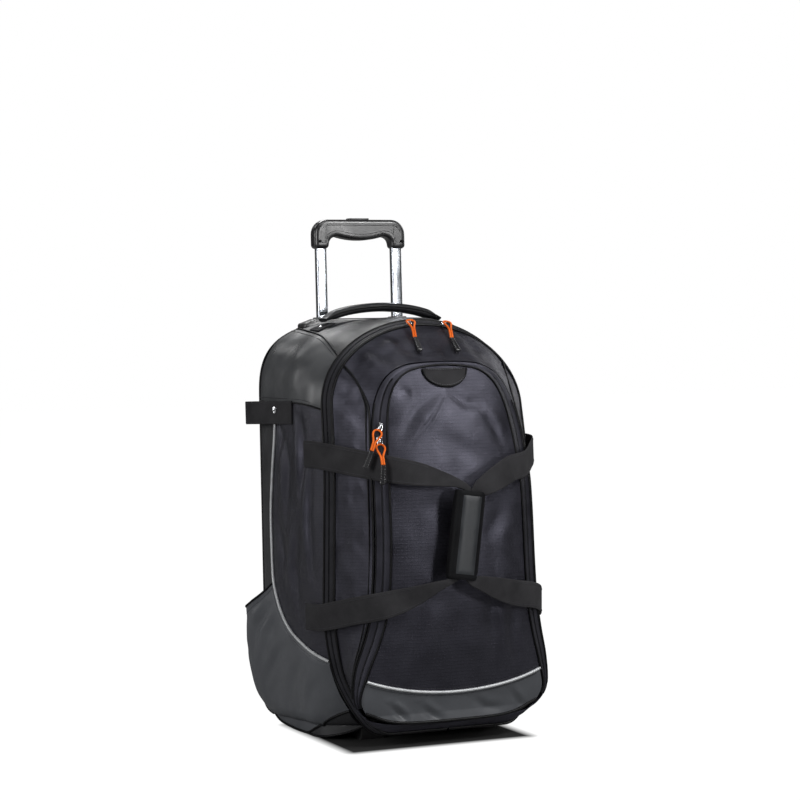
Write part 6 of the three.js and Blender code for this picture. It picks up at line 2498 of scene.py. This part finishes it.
@dataclass
class ZipPulls:
    """Four zip sliders, each with a loop of orange cord and a ribbed tip."""

    wide: float = 11.0
    long: float = 14.0
    thick: float = 6.0
    plate: float = 3.6
    waist: float = 0.22
    nose: float = 0.3
    bridge: float = 1.2
    bridge_line: tuple[Point, ...] = (
        (0.0, -4.6, 2.4), (0.0, -4.2, 4.6), (0.0, -1.0, 5.6), (0.0, 2.6, 5.2), (0.0, 4.4, 2.6),
    )
    cord: float = 1.6
    cord_points: int = 40
    spread: float = 1.75
    close: float = 0.42
    bend: float = 6.8
    arch: float = 4.0
    clearance: float = 0.4
    tip_wide: float = 9.0
    tip_thick: float = 6.0
    tip_ribs: int = 6
    pulls: tuple[Pull, ...] = (
        Pull("top_left", (-20, -90.6, 644.8), (0, -0.3, 0.95), (-30, -134, 622), (-33, -158, 600)),
        Pull("top_right", (44, -90.6, 642), (0.1, -0.3, 0.94), (36, -134, 620), (35, -158, 598)),
        Pull("side_upper", (-119, -183, 481), (-0.45, -0.86, 0.2), (-144, -204, 446), (-153, -197, 418)),
        Pull("side_lower", (-122, -187, 460), (-0.45, -0.88, 0.1), (-132, -219, 424), (-134, -219, 393)),
    )

    def build(self) -> None:
        """Builds each slider, tip and cord."""
        model = self.slider()
        for pull in self.pulls:
            slider = copy_of(model, f"zip_slider_{pull.name}_body", Matrix())
            seat(slider, pull.at, pull.face, -pull.hang)
            settle(slider, BRIGHT, replaces=(f"zip_slider_{pull.name}",))
            self.loop(pull, self.tip(pull))
        bpy.data.objects.remove(model)

    def slider(self) -> Object:
        """The slider: a waisted body with a bridge for the cord, modelled once about the origin.

        Returns:
            The model, to be copied.
        """
        x, y = self.wide / 2, self.long / 2
        body = block("slider", (-x, -y, 0.0), (x, y, self.plate))
        with editing(body):
            bpy.ops.mesh.subdivide(number_cuts=2)
        for vertex in body.data.vertices:
            waist = 1.0 - self.waist * math.exp(-((vertex.co.y / MM + 1.5) / 3.5) ** 2)
            nose = 1.0 - self.nose * max(0.0, vertex.co.y / (y * MM))
            vertex.co.x *= waist * nose
        soften(body, 1.1, 3, 30.0)
        line = through(self.bridge_line, 24)
        bridge = sweep("bridge", line, self.bridge, 10, up=(1.0, 0.0, 0.0), tall=1.7)
        bridge.data.transform(STANCE.matrix().inverted())
        return smooth_shade(join([body, bridge], "slider"), 45.0)

    def tip(self, pull: Pull) -> Object:
        """The moulded tip: a tapered block drawn out in steps, with ribs across it.

        Args:
            pull: Which pull it belongs to.

        Returns:
            The dressed tip.
        """
        long = float(np.linalg.norm(np.subtract(pull.end, pull.knot)))
        at = (0.0, 0.0, 0.8)
        obj = hoop(f"pull_tip_{pull.name}_body", self.tip_wide * 0.7, self.tip_thick * 0.7, at, 4.0, 28)
        steps = [(1.6, 1.15)]
        pitch = (long - 8.0) / self.tip_ribs
        for rib in range(self.tip_ribs):
            size, start = 1.15 + 0.35 * rib / self.tip_ribs, 4.0 + rib * pitch
            steps += [(start + pitch * place, size * scale)
                      for place, scale in ((0.0, 1.0), (0.3, 0.86), (0.62, 0.86), (0.9, 0.98))]
        steps += [(long - 3.0, 1.5), (long - 1.0, 1.25), (long, 0.7)]
        raised_from(obj, steps, at)
        across = np.cross(pull.face, pull.down)
        seat(obj, pull.knot, pull.down, np.cross(across, pull.down))
        return settle(smooth_shade(obj, 45.0), TIP, replaces=(f"pull_tip_{pull.name}",))

    def loop(self, pull: Pull, tip: Object) -> None:
        """The cord: out of the tip, through the slider's bridge and back into the tip.

        Args:
            pull: Which pull it belongs to.
            tip: The tip that hangs on it.
        """
        face, down = pull.face, pull.down
        across = np.cross(unit(face - down * np.dot(face, down)), down)
        crest = pull.at + face * (self.thick + self.cord + self.clearance) + pull.hang * (self.long / 2 - 1)
        reach = np.linalg.norm(crest - pull.knot)
        straight = reach - self.bend
        rise = np.linspace(0.0, straight, 24)
        parting = smoothstep(rise, self.close * straight, straight)
        leg = np.stack([lerp(self.spread, self.bend, parting), rise], axis=1)
        turn = np.linspace(math.pi, 0.0, 25)[1:-1]
        arc = np.stack([self.bend * np.cos(turn), straight + self.bend * np.sin(turn)], axis=1)
        aside, along = np.concatenate([leg * (-1.0, 1.0), arc, leg[::-1]]).T[..., None]
        share = along / reach
        spine = lerp(np.array(pull.knot), crest, share) + face * (self.arch * np.sin(np.pi * share))
        path = through(spine + across * aside, self.cord_points)
        obj = sweep(f"pull_cord_{pull.name}_loop", path, self.cord, 10)
        settle(obj, ORANGE, replaces=(f"pull_cord_{pull.name}",))


@dataclass
class StickHolder:
    """The holder strap on the left side, which stands open as a loop at the back and closes with a snap."""

    z: float = 506.0
    width: float = 38.0
    thick: float = 2.4
    # Depth along the side and lift off it
    line: tuple[Pair, ...] = (
        (4, 2.4), (30, 2.6), (54, 4.5), (74, 9.5), (100, 17), (128, 23), (148, 23), (161, 15), (162, 7),
        (156, 3.2),
    )
    snap_y: float = 62.0
    snap_z: float = 510.0
    snap_facing: Point = (-20.0, -5.0, 0.0)
    snap_rows: tuple[Pair, ...] = (
        (1.0, 2.0), (2.6, 1.9), (3.0, 1.4), (4.2, 1.6), (5.6, 1.2), (6.0, 0.2), (6.0, -0.6),
    )
    stitch_reach: float = 0.42
    stitch_pitch: float = 3.2

    def build(self) -> None:
        """Builds the strap, its stitches and the snap."""
        table = np.array(self.line, float)
        y, lift = table.T
        spots = side_point(-1.0, np.minimum(y, BACK.y), self.z, lift)
        spots[:, 1] = y
        ahead = np.concatenate([table[1:], table[-1:]]) - np.concatenate([table[:1], table[:-1]])
        face = unit(np.stack([-ahead[:, 0], ahead[:, 1], np.zeros(len(table))], axis=1))
        rows = np.concatenate([spots, face, np.tile((self.width, self.thick), (len(table), 1))], axis=1)
        settle(ribbon("stick_strap_web", rows, 120), WEBBING, replaces=("stick_strap",))
        stitches = bar_grain(2.5, 0.8, 0.45)
        fine = through(rows, 120)
        for reach in (-self.stitch_reach, self.stitch_reach):
            edge = fine[:, :3] + unit(fine[:, 3:6]) * (self.thick / 2) + (0.0, 0.0, self.width * reach)
            stitches.line(edge[2:-8], fine[2:-8, 3:6], self.stitch_pitch)
        settle(stitches.build("stick_strap_stitches"), THREAD)
        out = float(np.interp(self.snap_y, y[:6], lift[:6])) + self.thick / 2
        snap = turned("stick_snap_body", self.snap_rows, 40, closed=False)
        seat(snap, side_point(-1.0, self.snap_y, self.snap_z, out), self.snap_facing)
        settle(smooth_shade(snap, 40.0), BRIGHT, replaces=("stick_snap",))


@dataclass(frozen=True)
class Softbox:
    """A rectangular light at a point, aimed at another one, in metres and watts."""

    name: str
    at: Point
    towards: Point
    size: Pair
    power: float

    def build(self) -> None:
        """Hangs the light."""
        data = bpy.data.lights.new(f"softbox_{self.name}", "AREA")
        data.shape = "RECTANGLE"
        data.size, data.size_y = self.size
        data.energy = self.power
        lamp = bpy.data.objects.new(data.name, data)
        lamp.location = self.at
        lamp.rotation_euler = (Vector(self.towards) - Vector(self.at)).to_track_quat("-Z", "Y").to_euler()
        bpy.context.scene.collection.objects.link(lamp)


@dataclass
class Studio:
    """A white sweep of paper, soft lights and the camera."""

    eye: Point = (-1.78456, -3.64857, 0.783)
    heading: Pair = (0.438371, 0.898794)
    aside: float = math.atan(5 / 2500)
    pitch: float = math.radians(3.45)
    lens: float = 112.5
    floor: float = 16.0
    air_light: float = 0.05
    bounce: Colour = (0.25, 0.25, 0.25)
    # Box round the bag's footprint where the floor keeps its painted dark shadow, and how far past the box
    # its glow rises to white
    shade_half: Point = (0.152, 0.125, 1.0)
    shade_middle: Point = (-0.012, -0.02, 0.0)
    glow_from: Pair = (0.0, 0.022)
    lights: tuple[Softbox, ...] = (
        Softbox("top", (-0.2, -0.6, 2.6), (0.0, 0.0, 0.3), (1.6, 1.2), 14.0),
        Softbox("front", (1.2, -3.6, 1.15), (0.0, -0.2, 0.5), (0.6, 0.7), 38.0),
        Softbox("high", (1.15, -2.0, 2.45), (0.0, -0.15, 0.6), (1.0, 0.9), 56.0),
        Softbox("left", (-3.0, -1.0, 1.3), (0.0, 0.0, 0.35), (0.8, 1.8), 48.0),
        Softbox("streak", (-2.4, 2.05, 1.1), (-0.15, 0.0, 0.5), (0.5, 1.2), 10.0),
        Softbox("back", (0.3, 2.4, 2.7), (0.0, 0.2, 0.35), (1.0, 0.6), 44.0),
        Softbox("sheen", (-0.7, 3.1, 2.2), (0.0, 0.0, 0.6), (0.5, 0.7), 2.0),
        Softbox("right", (2.6, 0.9, 1.5), (0.0, 0.0, 0.45), (0.6, 2.0), 15.0),
    )

    def build(self) -> None:
        """Builds the floor, the camera, the lights and the air."""
        self.paper()
        self.camera()
        for softbox in self.lights:
            softbox.build()
        self.air()
        bpy.context.scene.view_settings.view_transform = "Standard"
        bpy.context.scene.view_settings.look = "None"

    def air(self) -> None:
        """White all round the view, and dim elsewhere so that dark cloth stays dark."""
        world = bpy.data.worlds.new("studio_air")
        bpy.context.scene.world = world
        world.use_nodes = True
        wire = Wiring(world.node_tree)
        seen = wire.node("ShaderNodeLightPath").outputs["Is Camera Ray"]
        background = world.node_tree.nodes["Background"]
        background.inputs["Color"].default_value = (1.0, 1.0, 1.0, 1.0)
        wire.feed(background.inputs["Strength"], wire.span(seen, 0.0, 1.0, self.air_light, 1.0))

    def paper(self) -> None:
        """The floor: near black for the camera, a painted contact shadow round the bag over its real shadow,
        and glowing white away from the bag so that it runs into the white air.
        """
        deselect()
        bpy.ops.mesh.primitive_grid_add(x_subdivisions=8, y_subdivisions=8, size=self.floor)
        paper = named("studio_floor")
        made = bpy.data.materials.new("white_paper")
        made.use_nodes = True
        wire = Wiring(made.node_tree)
        shader = made.node_tree.nodes["Principled BSDF"]
        seen = wire.node("ShaderNodeLightPath").outputs["Is Camera Ray"]
        tone = wire.group(Group.MOTTLE, Scale=3.0, Detail=2.0).outputs["Tone"]
        # Painted shadow: the camera sees the floor near black, and only the glow lifts it to white away from
        # the bag
        painted_shadow_tone = wire.blend(tone, (0.026, 0.026, 0.026, 1.0), (0.030, 0.030, 0.030, 1.0))
        wire.feed(shader.inputs["Base Color"], wire.blend(seen, (*self.bounce, 1.0), painted_shadow_tone))
        shader.inputs["Roughness"].default_value = 0.9
        shader.inputs["Specular IOR Level"].default_value = 0.1
        spot = wire.node("ShaderNodeTexCoord").outputs["Object"]
        steps = (("SUBTRACT", self.shade_middle), ("ABSOLUTE", None), ("SUBTRACT", self.shade_half),
                 ("MAXIMUM", (0.0, 0.0, 0.0)), ("LENGTH", None))
        for operation, other in steps:
            away = wire.node("ShaderNodeVectorMath", operation=operation)
            wire.feed(away.inputs[0], spot)
            if other:
                away.inputs[1].default_value = other
            spot = away.outputs[0]
        glow = wire.math("MULTIPLY", seen, wire.span(away.outputs["Value"], *self.glow_from, 0.0, 1.0))
        white = wire.blend(glow, (0.0, 0.0, 0.0, 1.0), (1.0, 1.0, 1.0, 1.0))
        wire.feed(shader.inputs["Emission Color"], white)
        shader.inputs["Emission Strength"].default_value = 1.0
        paper.data.materials.append(made)

    def camera(self) -> None:
        """The camera at the photograph's place."""
        data = bpy.data.cameras.new("camera")
        data.lens = self.lens
        data.sensor_width = 36.0
        data.clip_end = 100.0
        camera = bpy.data.objects.new("camera", data)
        bpy.context.scene.collection.objects.link(camera)
        yaw = math.atan2(self.heading[1], self.heading[0]) + self.aside
        flat = math.cos(self.pitch)
        ahead = Vector((math.cos(yaw) * flat, math.sin(yaw) * flat, -math.sin(self.pitch)))
        camera.location = self.eye
        camera.rotation_euler = ahead.to_track_quat("-Z", "Y").to_euler()
        bpy.context.scene.camera = camera


def dress_kept_nodes() -> None:
    """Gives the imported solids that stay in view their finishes."""
    kept = {"base_board": MOULDED, "trolley_sleeve_left": ALUMINIUM, "trolley_sleeve_right": ALUMINIUM}
    for node, finish in kept.items():
        mesh = bpy.data.objects[node].data
        mesh.materials.clear()
        mesh.materials.append(finish.material())


def main() -> None:
    """Builds the bag, dresses it and sets up the studio."""
    logging.basicConfig(level=logging.INFO, format="%(name)s %(message)s")
    build_groups()
    Studio().build()
    for assembly in (ZipPulls, BagShell, FrontFlap, CarryGear, Trolley, RunningGear, StickHolder):
        assembly().build()
        LOG.info("%s done", assembly.__name__)
    dress_kept_nodes()


if __name__ == "__main__":
    main()
